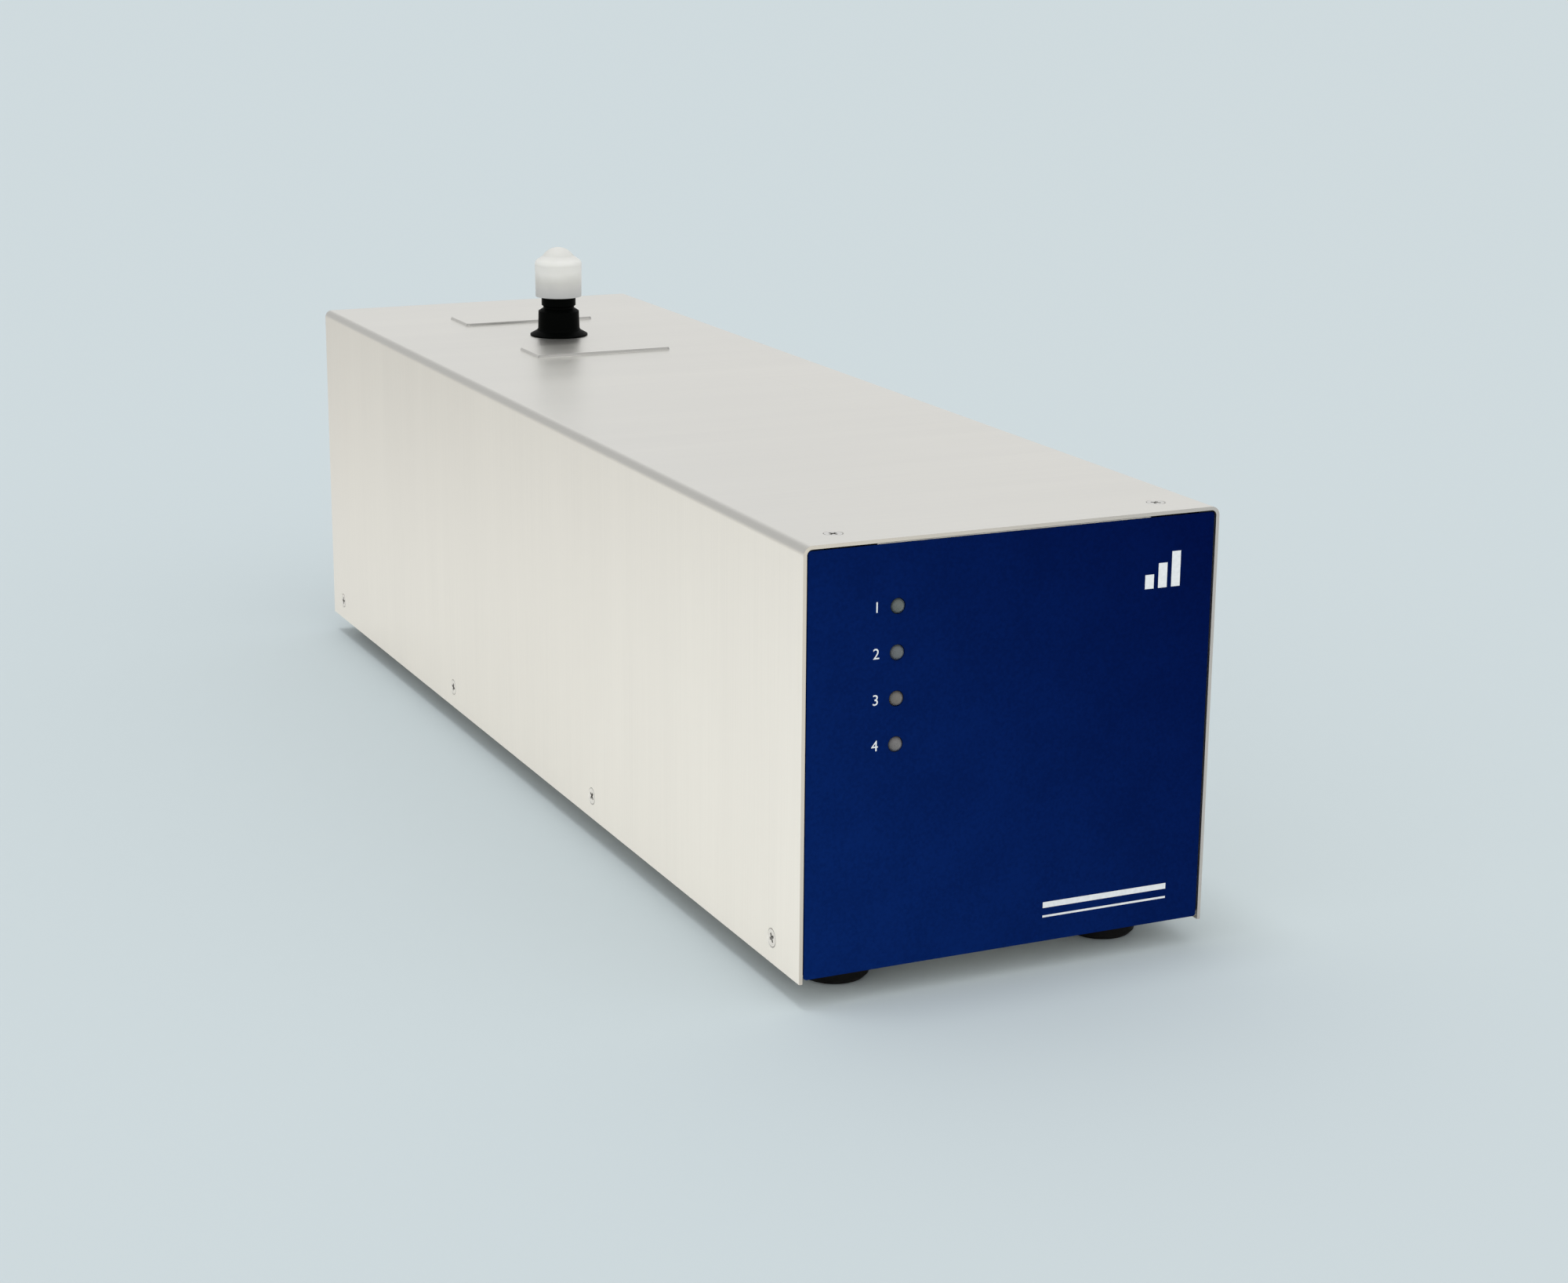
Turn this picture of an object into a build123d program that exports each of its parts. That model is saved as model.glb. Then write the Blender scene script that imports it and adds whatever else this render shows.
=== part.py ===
"""Airborne particle counter: sheet case, sampling inlet, optical sensor, blower and electronics.

Millimetres. +X is right seen from the front, +Y runs from the front to the back, +Z is up.
The origin is the middle of the outline, on the surface that the feet stand on.
A place along the case is given as its depth, the distance behind the cover's front edge.
"""
import math
import os

from build123d import *

# Case
cover_width = 127.0
cover_length = 437.0
cover_height = 121.0
cover_sheet = 1.0
cover_bend = 2.6
ground_gap = 7.2
chassis_sheet = 1.5
chassis_bend = 1.5
floor_gap = 1.2
flange_height = 14.0
flange_setback = 8.0
relief_radius = 1.0
relief_inset = 2.0
wall_corner = 1.8
wall_top_gap = 0.3
through = 8.0
overcut = 1.0

# Front panel and lamps
panel_recess = 0.3
panel_thickness = 0.5
panel_width = 124.0
panel_foot = 1.0
panel_top_gap = 1.55
panel_corner = 0.8
lamp_count = 4
lamp_pitch = 12.7
lamp_x = -35.65
lamp_top_height = 102.4
lamp_radius = 2.15
lamp_proud = 1.0
lamp_hole_radius = 2.2
lamp_board_gap = 3.0
lamp_board_width = 18.0
lamp_board_height = 62.0
lamp_post_spread = 27.0

# Cover screws, number 4 flat head
screw_head_radius = 2.85
screw_throat_radius = 1.75
screw_shank_radius = 1.42
screw_length = 7.0
screw_hole_radius = 1.6
side_screw_height = 7.3
side_screw_depths = (18.0, 153.5, 289.0, 424.5)
top_screw_x = 49.7
top_screw_depth = 11.1
tab_width = 15.2
tab_length = 18.0
tab_root = 12.0
tab_notch = 4.5
nut_radius = 3.2
nut_height = 2.3

# Pan-head screws of the boards and brackets
pan_head_radius = 2.8
pan_head_height = 2.0
pan_head_taper = 0.8
pan_shank_radius = 1.6
pan_length = 7.0
bracket_screw_length = 5.0

# Feet
foot_radius = 9.9
foot_top_radius = 10.4
foot_bevel = 1.2
foot_x = 43.0
foot_depths = (21.0, 416.0)
foot_screw_radius = 2.0
foot_head_radius = 3.8
foot_head_height = 2.4
foot_recess_radius = 4.8
foot_recess_depth = 4.6
foot_nut_radius = 4.0
foot_nut_height = 3.2
foot_thread_spare = 3.5

# Pads pressed up from the top
pad_width = 51.0
pad_run = 20.5
pad_rise = 0.9
pad_draft = 0.5
pad_depths = (300.5, 378.5)
pad_corner = 1.5
pad_round = 0.35

# Sampling inlet
inlet_depth = 347.6
inlet_flange_radius = 10.6
inlet_flange_edge = 0.5
inlet_body_radius = 7.7
inlet_rim_radius = 6.3
inlet_waist_radius = 5.7
inlet_collar_radius = 6.0
inlet_stub_radius = 4.75
inlet_bore_radius = 2.7
inlet_thread_radius = 6.0
inlet_tail_radius = 4.5
inlet_flare = 0.4
inlet_flare_height = 1.9
inlet_body_foot = 2.6
inlet_body_taper = 0.2
inlet_body_height = 9.0
inlet_waist_low = 10.2
inlet_waist_high = 10.7
inlet_rim_low = 11.2
inlet_rim_height = 14.5
collar_bevel = 0.4
stub_bevel = 0.5
collar_height = 4.5
stub_length = 7.5
cap_radius = 8.6
cap_foot_radius = 8.45
cap_slip = 0.05
cap_skirt_height = 25.8
cap_shoulder_radius = 7.5
cap_shoulder_height = 28.2
cap_crown_radius = 5.7
cap_crown_rise = 3.1
cap_height = 32.5
cap_roof_height = 27.5
cap_roof_chamfer = 1.5
inlet_hole_depth = 18.0
inlet_thread_length = 9.0
locknut_radius = 10.0
locknut_height = 4.0

# Optical sensor
sensor_width = 44.0
sensor_run = 46.0
sensor_low = 40.0
sensor_high = 86.0
optic_height = 70.0
sensor_chamfer = 3.0
sensor_floor = 8.0
passage_radius = 4.0
beam_radius = 3.0
optic_bore_radius = 8.0
laser_radius = 8.0
laser_spigot_radius = 6.0
laser_spigot = 8.0
laser_length = 20.0
laser_aperture_radius = 2.5
sink_low = 2.0
sink_high = 16.0
sink_half_run = 14.0
sink_half_height = 13.0
sink_slots = 4
sink_slot = 3.0
sink_slot_pitch = 7.0
sink_slot_depth = 4.0
dump_radius = 6.5
dump_mouth_radius = 3.0
dump_length = 12.0
dump_cone = 9.0
mirror_flange_radius = 10.0
mirror_flange = 2.5
mirror_face_radius = 6.5
mirror_middle_radius = 2.0
mirror_hollow = 2.4
detector_gap = 3.0
detector_half_width = 17.0
detector_half_height = 14.0
detector_post_x = 13.0
detector_post_z = 10.0
detector_post_radius = 2.6
detector_post_bore = 1.2
can_flange_radius = 6.5
can_radius = 5.5
can_flange = 1.0
can_height = 7.0
nozzle_radius = 5.0
nozzle_bore = 2.8
nozzle_length = 11.0
nozzle_flange = 1.5
inlet_nozzle_flange_radius = 11.0
outlet_nozzle_flange_radius = 7.5
hose_wall = 1.6
hose_gap = 1.0

# Brackets
bracket_sheet = 1.5
bracket_bend = 2.0
sensor_bracket_half = 27.0
sensor_bracket_foot = 38.0
sensor_bracket_width = 42.0
sensor_bracket_hole_x = 33.0
blower_bracket_top = 46.0
blower_bracket_foot = 22.0
blower_bracket_width = 56.0
blower_bracket_hole_x = 20.0
blower_bracket_hole_back = 14.0
blower_bracket_slip = 0.2

# Blower
blower_depth = 285.0
blower_height = 50.0
volute_start_radius = 28.0
volute_end_radius = 38.0
volute_tongue_deg = 30.0
volute_wall = 2.0
blower_thickness = 24.0
volute_turns = 12
blower_duct_top = 32.0
impeller_level = 3.0
impeller_radius = 23.5
impeller_eye_radius = 10.0
impeller_height = 14.0
impeller_disc = 1.2
impeller_ring_radius = 12.0
impeller_hub = [(0, 3), (3, 3), (5, 6), (6, 10), (8, 14), (0, 14)]
blade_count = 9
blade_thickness = 1.1
blade_inset = 0.6
blade_sweep_deg = 48.0
shaft_radius = 2.0
shaft_slip = 0.03
shaft_start = 6.0
bush_radius = 5.0
bush_length = 4.0
motor_radius = 16.0
motor_length = 24.0
motor_wall = 1.2
motor_end = 2.0
motor_flange = 5.0
motor_flange_thickness = 1.5
bush_seat_radius = 7.0
bush_seat_low = 6.0
bush_seat_high = 1.0
stator_level = 5.5
stator_height = 10.0
stator_ring = 2.4
stator_poles = 6
pole_middle = 10.2
pole_length = 5.0
pole_width = 3.4
rotor_radius = 7.0

# Exhaust line
filter_height = 101.0
filter_radius = 12.0
filter_depths = (306.0, 376.0)
filter_cap_slope = 3.0
filter_cap_round = 5.0
filter_band = 13.0
filter_step = 1.0
delivery_bend = 13.0
exhaust_reach = 22.0
exhaust_stub_radius = 4.75
exhaust_hex = 16.0
exhaust_shoulder = 1.3
exhaust_shoulder_run = 1.0
exhaust_entry = 0.6
exhaust_shank_length = 7.0
exhaust_tail = 18.0
exhaust_hex_height = 5.0
exhaust_nut_height = 3.2
vent_count = 6
vent_pitch = 6.0
vent_length = 18.0
vent_width = 2.4
vent_height = 64.0

# Circuit boards and rear connectors
board_thickness = 1.6
standoff_height = 10.0
standoff_radius = 2.9
main_board_width = 96.0
main_board_depths = (30.0, 200.0)
rear_board_depths = (386.0, 431.0)
rear_board_width = 96.0
board_hole_inset = 4.0
heat_sink_x = (17.0, 47.0)
heat_sink_depths = (120.0, 170.0)
heat_sink_base = 4.0
heat_sink_height = 20.0
heat_sink_fins = 6
heat_sink_pitch = 5.6
heat_sink_fin = 2.0
capacitor_places = [(-30.0, 60.0), (-30.0, 76.0), (-14.0, 68.0)]
capacitor_radius = 6.0
capacitor_height = 18.0
chip_places = [
    ((-12.0, 16.0), (100.0, 128.0)),
    ((-34.0, -22.0), (104.0, 122.0)),
    ((-34.0, -22.0), (132.0, 150.0)),
]
chip_height = 1.6
header_depths = (44.0, 186.0)
header_half_width = 9.0
header_half_run = 4.0
header_height = 9.0
header_wall = 1.0
header_floor = 2.0
plug_level = 3.0
ribbon_width = 12.0
ribbon_thickness = 1.0
ribbon_bend = 2.0
ribbon_top = 80.0
ribbon_drop = 8.0
ribbon_bow = [(10.0, 66.0), (14.0, 35.0)]
motor_lead_radius = 1.4
laser_lead_radius = 1.2
lead_bend = 2.5
motor_lead_bends = [(0.0, 223.0, 40.0), (-20.0, 213.0, 40.0), (-31.0, 186.0, 38.0)]
laser_lead_bends = [(-50.0, 347.6, 70.0), (-51.0, 317.6, 50.0), (-50.0, 230.0, 36.0), (-40.0, 186.0, 36.0)]

# Network socket
ethernet_x = -31.0
ethernet_half_width = 8.0
ethernet_length = 21.0
ethernet_height = 13.4
ethernet_mouth_half = 5.9
ethernet_mouth = (3.8, 10.6)
ethernet_latch_half = 3.1
ethernet_latch = (2.2, 5.0)
ethernet_mouth_length = 14.0

# Power socket
power_x = -4.0
power_half_width = 5.0
power_length = 14.0
power_height = 11.0
power_axis = 6.0
power_mouth_radius = 3.15
power_mouth_length = 10.0
power_pin_radius = 1.0
power_pin_setback = 1.0

# Terminal header
terminal_x = 21.0
terminal_half_width = 16.0
terminal_length = 12.0
terminal_height = 9.4
terminal_wall = 1.0
terminal_mouth = (1.2, 8.4)
terminal_mouth_length = 9.0
terminal_pins = 8
terminal_pitch = 3.5
terminal_pin = 1.0
terminal_pin_z = (4.2, 5.2)
terminal_pin_length = 8.0
window_slip = 0.1
socket_proud = 0.1

# Worked-out levels and places
overall_length = lamp_proud + cover_length + exhaust_reach
front_y = lamp_proud - overall_length / 2
cover_top = ground_gap + cover_height
cover_inside_top = cover_top - cover_sheet
inside_width = cover_width - 2 * cover_sheet
floor_low = ground_gap + floor_gap
floor_high = floor_low + chassis_sheet
wall_front = panel_recess + panel_thickness
wall_inside = wall_front + chassis_sheet
rear_outside = cover_length - panel_recess
rear_inside = rear_outside - chassis_sheet
rear_flange_end = rear_outside - (flange_setback - wall_front)
exhaust_shank_radius = exhaust_stub_radius + exhaust_shoulder
board_level = floor_high + standoff_height
board_top = board_level + board_thickness
lamp_heights = [ground_gap + lamp_top_height - lamp_pitch * i for i in range(lamp_count)]
lamp_middle = (lamp_heights[0] + lamp_heights[-1]) / 2
lamp_face = wall_inside + lamp_board_gap
lamp_back = lamp_face + board_thickness
pad_overlap = cover_sheet / 4
blower_outlet_x = (volute_end_radius + volute_start_radius * math.cos(math.radians(volute_tongue_deg))) / 2
hose_radius = nozzle_radius + hose_wall
detector_face = inlet_depth + sensor_run / 2 + detector_gap
blower_bracket_wall = blower_depth - blower_thickness
motor_top = blower_thickness + motor_length
socket_face = rear_outside + socket_proud


def at(x, depth, z):
    """Location of a point given by its depth behind the cover's front edge."""
    return Pos(x, front_y + depth, z)


def facing_front(x, depth, z):
    """Location whose local +Z points to the front, with local x to the right and y up."""
    return Location(Plane(origin=(x, front_y + depth, z), x_dir=(1, 0, 0), z_dir=(0, -1, 0)))


def group(pieces):
    """Separate solids kept together in one node."""
    return Compound([solid for piece in pieces for solid in piece.solids()])


def block(x, depth, z):
    """Box between the two values of each pair: x, depth and z."""
    size = Box(x[1] - x[0], depth[1] - depth[0], z[1] - z[0])
    return at((x[0] + x[1]) / 2, (depth[0] + depth[1]) / 2, (z[0] + z[1]) / 2) * size


def rod(radius, low, high):
    """Cylinder on the local Z axis between two levels."""
    return Pos(0, 0, (low + high) / 2) * Cylinder(radius, high - low)


def collar(outer, inner, low, high):
    """Hexagonal nut or standoff on the local Z axis."""
    return Pos(0, 0, low) * extrude(RegularPolygon(outer, 6) - Circle(inner), high - low)


def turned(profile):
    """Body of revolution about local Z from (radius, height) corners."""
    section = make_face(Polyline(*[(r, 0, z) for r, z in profile], close=True))
    return revolve(section, Axis.Z)


def tube(outer, inner, low, high):
    """Round tube on the local Z axis."""
    return rod(outer, low, high) - rod(inner, low - overcut, high + overcut)


def folded(corners, sheet, bend, width, plane):
    """Sheet folded along a path of its middle plane, as wide as given about the plane's origin."""
    path = FilletPolyline(*corners, radius=bend)
    return extrude(plane * trace(path, sheet), width / 2, both=True)


def across(x=0.0):
    """Plane with local x to the back and local y up, for sheets folded about X."""
    return Plane(origin=(x, front_y, 0), x_dir=(0, 1, 0), z_dir=(1, 0, 0))


def along(depth):
    """Plane with local x to the right and local y up, for sheets folded about Y."""
    return Plane(origin=(0, front_y + depth, 0), x_dir=(1, 0, 0), z_dir=(0, -1, 0))


# Fasteners

def flat_screw():
    """Flat-head screw with the middle of its head's face at local z = 0."""
    head = Pos(0, 0, -cover_sheet / 2) * Cone(screw_throat_radius, screw_head_radius, cover_sheet)
    return head + rod(screw_shank_radius, -screw_length, -cover_sheet)


def pan_screw(head_radius, head_height, shank_radius, length):
    """Pan-head screw with its head below local z = 0 and its shank above."""
    head = Pos(0, 0, -head_height / 2) * Cone(head_radius * pan_head_taper, head_radius, head_height)
    return head + rod(shank_radius, 0, length)


def side_screw_places():
    places = []
    for depth in side_screw_depths:
        for side in (-1, 1):
            z = ground_gap + side_screw_height
            places.append(at(side * cover_width / 2, depth, z) * Rot(0, 90 * side, 0))
    return places


def top_screw_places():
    return [at(side * top_screw_x, top_screw_depth, cover_top) for side in (-1, 1)]


def make_clinch_nuts():
    """Clinch nuts under the two sheets that each cover screw joins."""
    under = -cover_sheet - chassis_sheet
    nut = collar(nut_radius, screw_shank_radius, under - nut_height, under)
    return group([place * nut for place in side_screw_places() + top_screw_places()])


# Case

def pad(width, run, low, high):
    """Frustum with rounded corners between two levels, its base as wide and long as given."""
    base = Plane.XY.offset(low) * RectangleRounded(width, run, pad_corner)
    draft = 2 * pad_draft
    top = Plane.XY.offset(high) * RectangleRounded(width - draft, run - draft, pad_corner - pad_draft)
    return loft([base, top])


def raised_pad():
    """Pad's outer form, with its top edge softened by the press."""
    form = pad(pad_width, pad_run, -pad_overlap, pad_rise)
    return fillet(form.edges().group_by(Axis.Z)[-1], pad_round)


def make_top_cover():
    """Sheet folded to a channel, with two pressed pads, the inlet hole and countersunk holes."""
    outline = Pos(0, ground_gap + cover_height / 2) * Rectangle(cover_width, cover_height)
    outer = fillet(outline.vertices().group_by(Axis.Y)[-1], cover_bend)
    inner_height = cover_height - cover_sheet
    hollow = Pos(0, ground_gap + inner_height / 2) * Rectangle(inside_width, inner_height)
    inner = fillet(hollow.vertices().group_by(Axis.Y)[-1], cover_bend - cover_sheet)
    cover = extrude(along(0) * (outer - inner), -cover_length)
    hollow_width = pad_width - 2 * cover_sheet
    hollow_run = pad_run - 2 * cover_sheet
    for depth in pad_depths:
        place = at(0, depth + pad_run / 2, cover_top)
        cover += place * raised_pad()
        cover -= place * pad(hollow_width, hollow_run, -cover_sheet - pad_overlap, pad_rise - cover_sheet)
    for place in side_screw_places() + top_screw_places():
        cover -= place * flat_screw()
    return cover - at(0, inlet_depth, cover_top) * rod(inlet_thread_radius, -through, through)


def end_wall(outside, inward):
    """Full-width end wall with the strip of floor it is bent from."""
    middle = outside + inward * chassis_sheet / 2
    floor_end = outside + inward * (flange_setback - wall_front)
    floor_mid = floor_low + chassis_sheet / 2
    corners = [(middle, cover_inside_top - wall_top_gap), (middle, floor_mid), (floor_end, floor_mid)]
    wall = folded(corners, chassis_sheet, chassis_bend, inside_width, across())
    return fillet(wall.edges().filter_by(Axis.Y).group_by(Axis.Z)[-1], wall_corner)


def screw_tab(side):
    """Tab bent back from the top of the front wall to take a cover screw."""
    middle = wall_front + chassis_sheet / 2
    level = cover_inside_top - chassis_sheet / 2
    corners = [(middle, level - tab_root), (middle, level), (wall_front + tab_length, level)]
    return folded(corners, chassis_sheet, chassis_bend, tab_width, across(side * top_screw_x))


def tab_gap(side):
    """Gap in the front wall's top edge where a tab is bent out of it."""
    x = side * top_screw_x
    return block((x - tab_width / 2, x + tab_width / 2), (wall_front - overcut, wall_inside + overcut),
                 (cover_inside_top - tab_notch, cover_top))


def chassis_floor():
    """Floor with a flange up each side, for the length between the end walls."""
    middle = inside_width / 2 - chassis_sheet / 2
    floor_mid = floor_low + chassis_sheet / 2
    top = ground_gap + flange_height
    corners = [(-middle, top), (-middle, floor_mid), (middle, floor_mid), (middle, top)]
    length = rear_flange_end - flange_setback
    return folded(corners, chassis_sheet, chassis_bend, length, along(flange_setback + length / 2))


def vent_slots():
    slot = Rot(90, 0, 0) * extrude(SlotOverall(vent_length, vent_width, rotation=90), through, both=True)
    first = -vent_pitch * (vent_count - 1) / 2
    return group([at(first + vent_pitch * i, rear_inside, vent_height) * slot for i in range(vent_count)])


def chassis_holes():
    """Holes for the screws, feet, lamps, exhaust and air, with the bend reliefs at the corners."""
    drill = rod(pan_shank_radius, -through, through)
    screw_hole = rod(screw_hole_radius, -through, 0)
    holes = [place * screw_hole for place in side_screw_places() + top_screw_places()]
    holes += [place * rod(foot_screw_radius, 0, floor_high + overcut) for place in foot_places()]
    holes += [place * drill for place in bracket_screw_places()]
    lamp_hole = rod(lamp_hole_radius, -through, through)
    holes += [facing_front(lamp_x, wall_front, z) * lamp_hole for z in lamp_heights]
    exhaust = Cylinder(exhaust_shank_radius, through)
    holes.append(facing_front(blower_outlet_x, rear_inside, filter_height) * exhaust)
    holes.append(vent_slots())
    for side in (-1, 1):
        x = side * (inside_width / 2 - relief_inset)
        for depth in (flange_setback, rear_flange_end):
            holes.append(at(x, depth, floor_low) * Cylinder(relief_radius, through))
    return holes


def make_chassis():
    """Pan folded from one sheet: floor, side flanges, end walls and two screw tabs."""
    chassis = chassis_floor() + end_wall(wall_front, 1) + end_wall(rear_outside, -1)
    for side in (-1, 1):
        chassis -= tab_gap(side)
        chassis += screw_tab(side)
    for hole in chassis_holes():
        chassis -= hole
    for x, size_x, size_z in connector_windows():
        chassis -= at(x, rear_inside, board_top + size_z / 2) * Box(size_x, through, size_z)
    return chassis


def make_front_panel():
    """Thin printed plate stuck on the front wall."""
    low = ground_gap + panel_foot
    high = cover_top - panel_top_gap
    outline = Pos(0, (low + high) / 2) * RectangleRounded(panel_width, high - low, panel_corner)
    panel = extrude(along(wall_front) * outline, panel_thickness)
    for z in lamp_heights:
        panel -= facing_front(lamp_x, wall_front, z) * Cylinder(lamp_hole_radius, through)
    return panel


def make_lamp(z):
    """Lamp that stands on its board, with its domed lens in the panel hole."""
    dome_base = lamp_face - lamp_radius + lamp_proud
    slant = lamp_radius * math.sqrt(0.5)
    side = Polyline((0, 0, 0), (lamp_radius, 0, 0), (lamp_radius, 0, dome_base))
    tip = (0, 0, dome_base + lamp_radius)
    dome = ThreePointArc((lamp_radius, 0, dome_base), (slant, 0, dome_base + slant), tip)
    axis_line = Line(tip, (0, 0, 0))
    return facing_front(lamp_x, lamp_face, z) * revolve(make_face(side + dome + axis_line), Axis.Z)


def foot_places():
    return [at(side * foot_x, depth, 0) for depth in foot_depths for side in (-1, 1)]


def make_foot():
    """Moulded rubber foot with a recess that hides its screw."""
    body = turned([(foot_recess_radius, 0), (foot_radius - foot_bevel, 0), (foot_radius, foot_bevel),
                   (foot_top_radius, floor_low), (0, floor_low), (0, foot_recess_depth),
                   (foot_recess_radius, foot_recess_depth)])
    return body - rod(foot_screw_radius, 0, floor_low + overcut)


def make_foot_screws():
    length = floor_high + foot_thread_spare - foot_recess_depth
    screw = pan_screw(foot_head_radius, foot_head_height, foot_screw_radius, length)
    return group([place * Pos(0, 0, foot_recess_depth) * screw for place in foot_places()])


def make_foot_nuts():
    nut = collar(foot_nut_radius, foot_screw_radius, 0, foot_nut_height)
    return group([place * Pos(0, 0, floor_high) * nut for place in foot_places()])


# Sampling inlet

def make_inlet_fitting():
    """Turned inlet: threaded shank, flange, body with a waist, seat for the cap and hose stub."""
    collar_top = inlet_rim_height + collar_height
    stub_top = collar_top + stub_length
    shank = [(0, -inlet_hole_depth), (inlet_tail_radius, -inlet_hole_depth),
             (inlet_tail_radius, -inlet_thread_length), (inlet_thread_radius, -inlet_thread_length),
             (inlet_thread_radius, 0)]
    flange = [(inlet_flange_radius, 0), (inlet_flange_radius, inlet_flange_edge),
              (inlet_body_radius + inlet_flare, inlet_flare_height)]
    body = [(inlet_body_radius, inlet_body_foot), (inlet_body_radius - inlet_body_taper, inlet_body_height)]
    waist = [(inlet_waist_radius, inlet_waist_low), (inlet_waist_radius, inlet_waist_high)]
    rim = [(inlet_rim_radius, inlet_rim_low), (inlet_rim_radius, inlet_rim_height)]
    seat = [(inlet_collar_radius, inlet_rim_height), (inlet_collar_radius, collar_top - collar_bevel),
            (inlet_collar_radius - collar_bevel, collar_top)]
    stub = [(inlet_stub_radius, collar_top), (inlet_stub_radius, stub_top - stub_bevel),
            (inlet_stub_radius - stub_bevel, stub_top), (0, stub_top)]
    bore = rod(inlet_bore_radius, -inlet_hole_depth - overcut, stub_top + overcut)
    outside = turned(shank + flange + body + waist + rim + seat + stub)
    return at(0, inlet_depth, cover_top) * (outside - bore)


def make_inlet_locknut():
    nut = collar(locknut_radius, inlet_thread_radius, -locknut_height, 0)
    return at(0, inlet_depth, cover_inside_top) * nut


def arc_through_sphere(radius, rise, top):
    """Spherical arc from a circle of the radius up to the axis, in (radius, height) coordinates."""
    sphere = (radius ** 2 + rise ** 2) / (2 * rise)
    half_angle = math.asin(radius / sphere) / 2
    middle = (sphere * math.sin(half_angle), 0, top - sphere * (1 - math.cos(half_angle)))
    return ThreePointArc((radius, 0, top - rise), middle, (0, 0, top))


def make_inlet_cap():
    """Moulded push-on cap: straight skirt, rounded shoulder, slope and a smaller domed crown."""
    base = inlet_rim_height
    bore = inlet_collar_radius + cap_slip
    skirt = Line((cap_foot_radius, 0, base), (cap_radius, 0, cap_skirt_height))
    slant = math.sqrt(0.5)
    width = cap_radius - cap_shoulder_radius
    height = cap_shoulder_height - cap_skirt_height
    shoulder_middle = (cap_shoulder_radius + width * slant, 0, cap_skirt_height + height * slant)
    shoulder = ThreePointArc(skirt @ 1, shoulder_middle, (cap_shoulder_radius, 0, cap_shoulder_height))
    crown = arc_through_sphere(cap_crown_radius, cap_crown_rise, cap_height)
    slope = Line(shoulder @ 1, crown @ 0)
    inside = Polyline((0, 0, cap_height), (0, 0, cap_roof_height),
                      (bore - cap_roof_chamfer, 0, cap_roof_height),
                      (bore, 0, cap_roof_height - cap_roof_chamfer), (bore, 0, base),
                      (cap_foot_radius, 0, base))
    section = make_face(skirt + shoulder + slope + crown + inside)
    return at(0, inlet_depth, cover_top) * revolve(section, Axis.Z)


def make_inlet_tube():
    """Silicone sleeve that joins the inlet's tail to the sensor's nozzle."""
    low = sensor_high + nozzle_flange
    high = cover_top - inlet_thread_length - hose_gap
    sleeve = tube(inlet_tail_radius + hose_wall, inlet_tail_radius, low, high)
    return at(0, inlet_depth, 0) * sleeve


# Optical sensor

def make_sensor_block():
    """Milled block with the air passage, the laser bore and the optics bores meeting in its middle."""
    half = sensor_width / 2
    run = sensor_run / 2
    body = block((-half, half), (inlet_depth - run, inlet_depth + run), (sensor_low, sensor_high))
    body = chamfer(body.edges().filter_by(Axis.Z), sensor_chamfer)
    body -= at(0, inlet_depth, 0) * rod(passage_radius, sensor_low + sensor_floor, sensor_high + overcut)
    body -= at(0, inlet_depth, optic_height) * Rot(0, 90, 0) * Cylinder(beam_radius, sensor_width + overcut)
    laser_seat = Cylinder(laser_spigot_radius, 2 * laser_spigot)
    body -= at(-half, inlet_depth, optic_height) * Rot(0, 90, 0) * laser_seat
    optic_bore = Cylinder(optic_bore_radius, sensor_run + overcut)
    body -= at(0, inlet_depth, optic_height) * Rot(90, 0, 0) * optic_bore
    body -= facing_front(0, inlet_depth, blower_height) * rod(nozzle_bore, 0, run + overcut)
    return body


def flanged_nozzle(flange_radius, radius):
    return turned([(nozzle_bore, 0), (flange_radius, 0), (flange_radius, nozzle_flange),
                   (radius, nozzle_flange), (radius, nozzle_length), (nozzle_bore, nozzle_length)])


def make_sensor_nozzles():
    """Inlet nozzle on top of the block and outlet nozzle on its front."""
    inlet = at(0, inlet_depth, sensor_high) * flanged_nozzle(inlet_nozzle_flange_radius, inlet_tail_radius)
    face = inlet_depth - sensor_run / 2
    outlet = flanged_nozzle(outlet_nozzle_flange_radius, nozzle_radius)
    return group([inlet, facing_front(0, face, blower_height) * outlet])


def make_laser_module():
    """Laser barrel with its spigot seated in the sensor block."""
    barrel = rod(laser_spigot_radius, -laser_spigot, 0) + rod(laser_radius, 0, laser_length)
    barrel -= rod(laser_aperture_radius, -laser_spigot - overcut, laser_spigot / 2)
    return at(-sensor_width / 2, inlet_depth, optic_height) * Rot(0, -90, 0) * barrel


def make_laser_heat_sink():
    """Finned clamp round the laser barrel."""
    right = -sensor_width / 2 - sink_low
    left = -sensor_width / 2 - sink_high
    top = optic_height + sink_half_height
    body = block((left, right), (inlet_depth - sink_half_run, inlet_depth + sink_half_run),
                 (optic_height - sink_half_height, top))
    barrel = Cylinder(laser_radius, laser_length)
    body -= at((left + right) / 2, inlet_depth, optic_height) * Rot(0, 90, 0) * barrel
    first = inlet_depth - sink_slot_pitch * (sink_slots - 1) / 2 - sink_slot / 2
    for i in range(sink_slots):
        depth = first + sink_slot_pitch * i
        body -= block((left - overcut, right + overcut), (depth, depth + sink_slot),
                      (top - sink_slot_depth, top + overcut))
    return body


def make_beam_dump():
    """Blind absorber opposite the laser."""
    dump = turned([(0, dump_length), (dump_radius, dump_length), (dump_radius, 0), (dump_mouth_radius, 0),
                   (0, dump_cone)])
    return at(sensor_width / 2, inlet_depth, optic_height) * Rot(0, 90, 0) * dump


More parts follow.
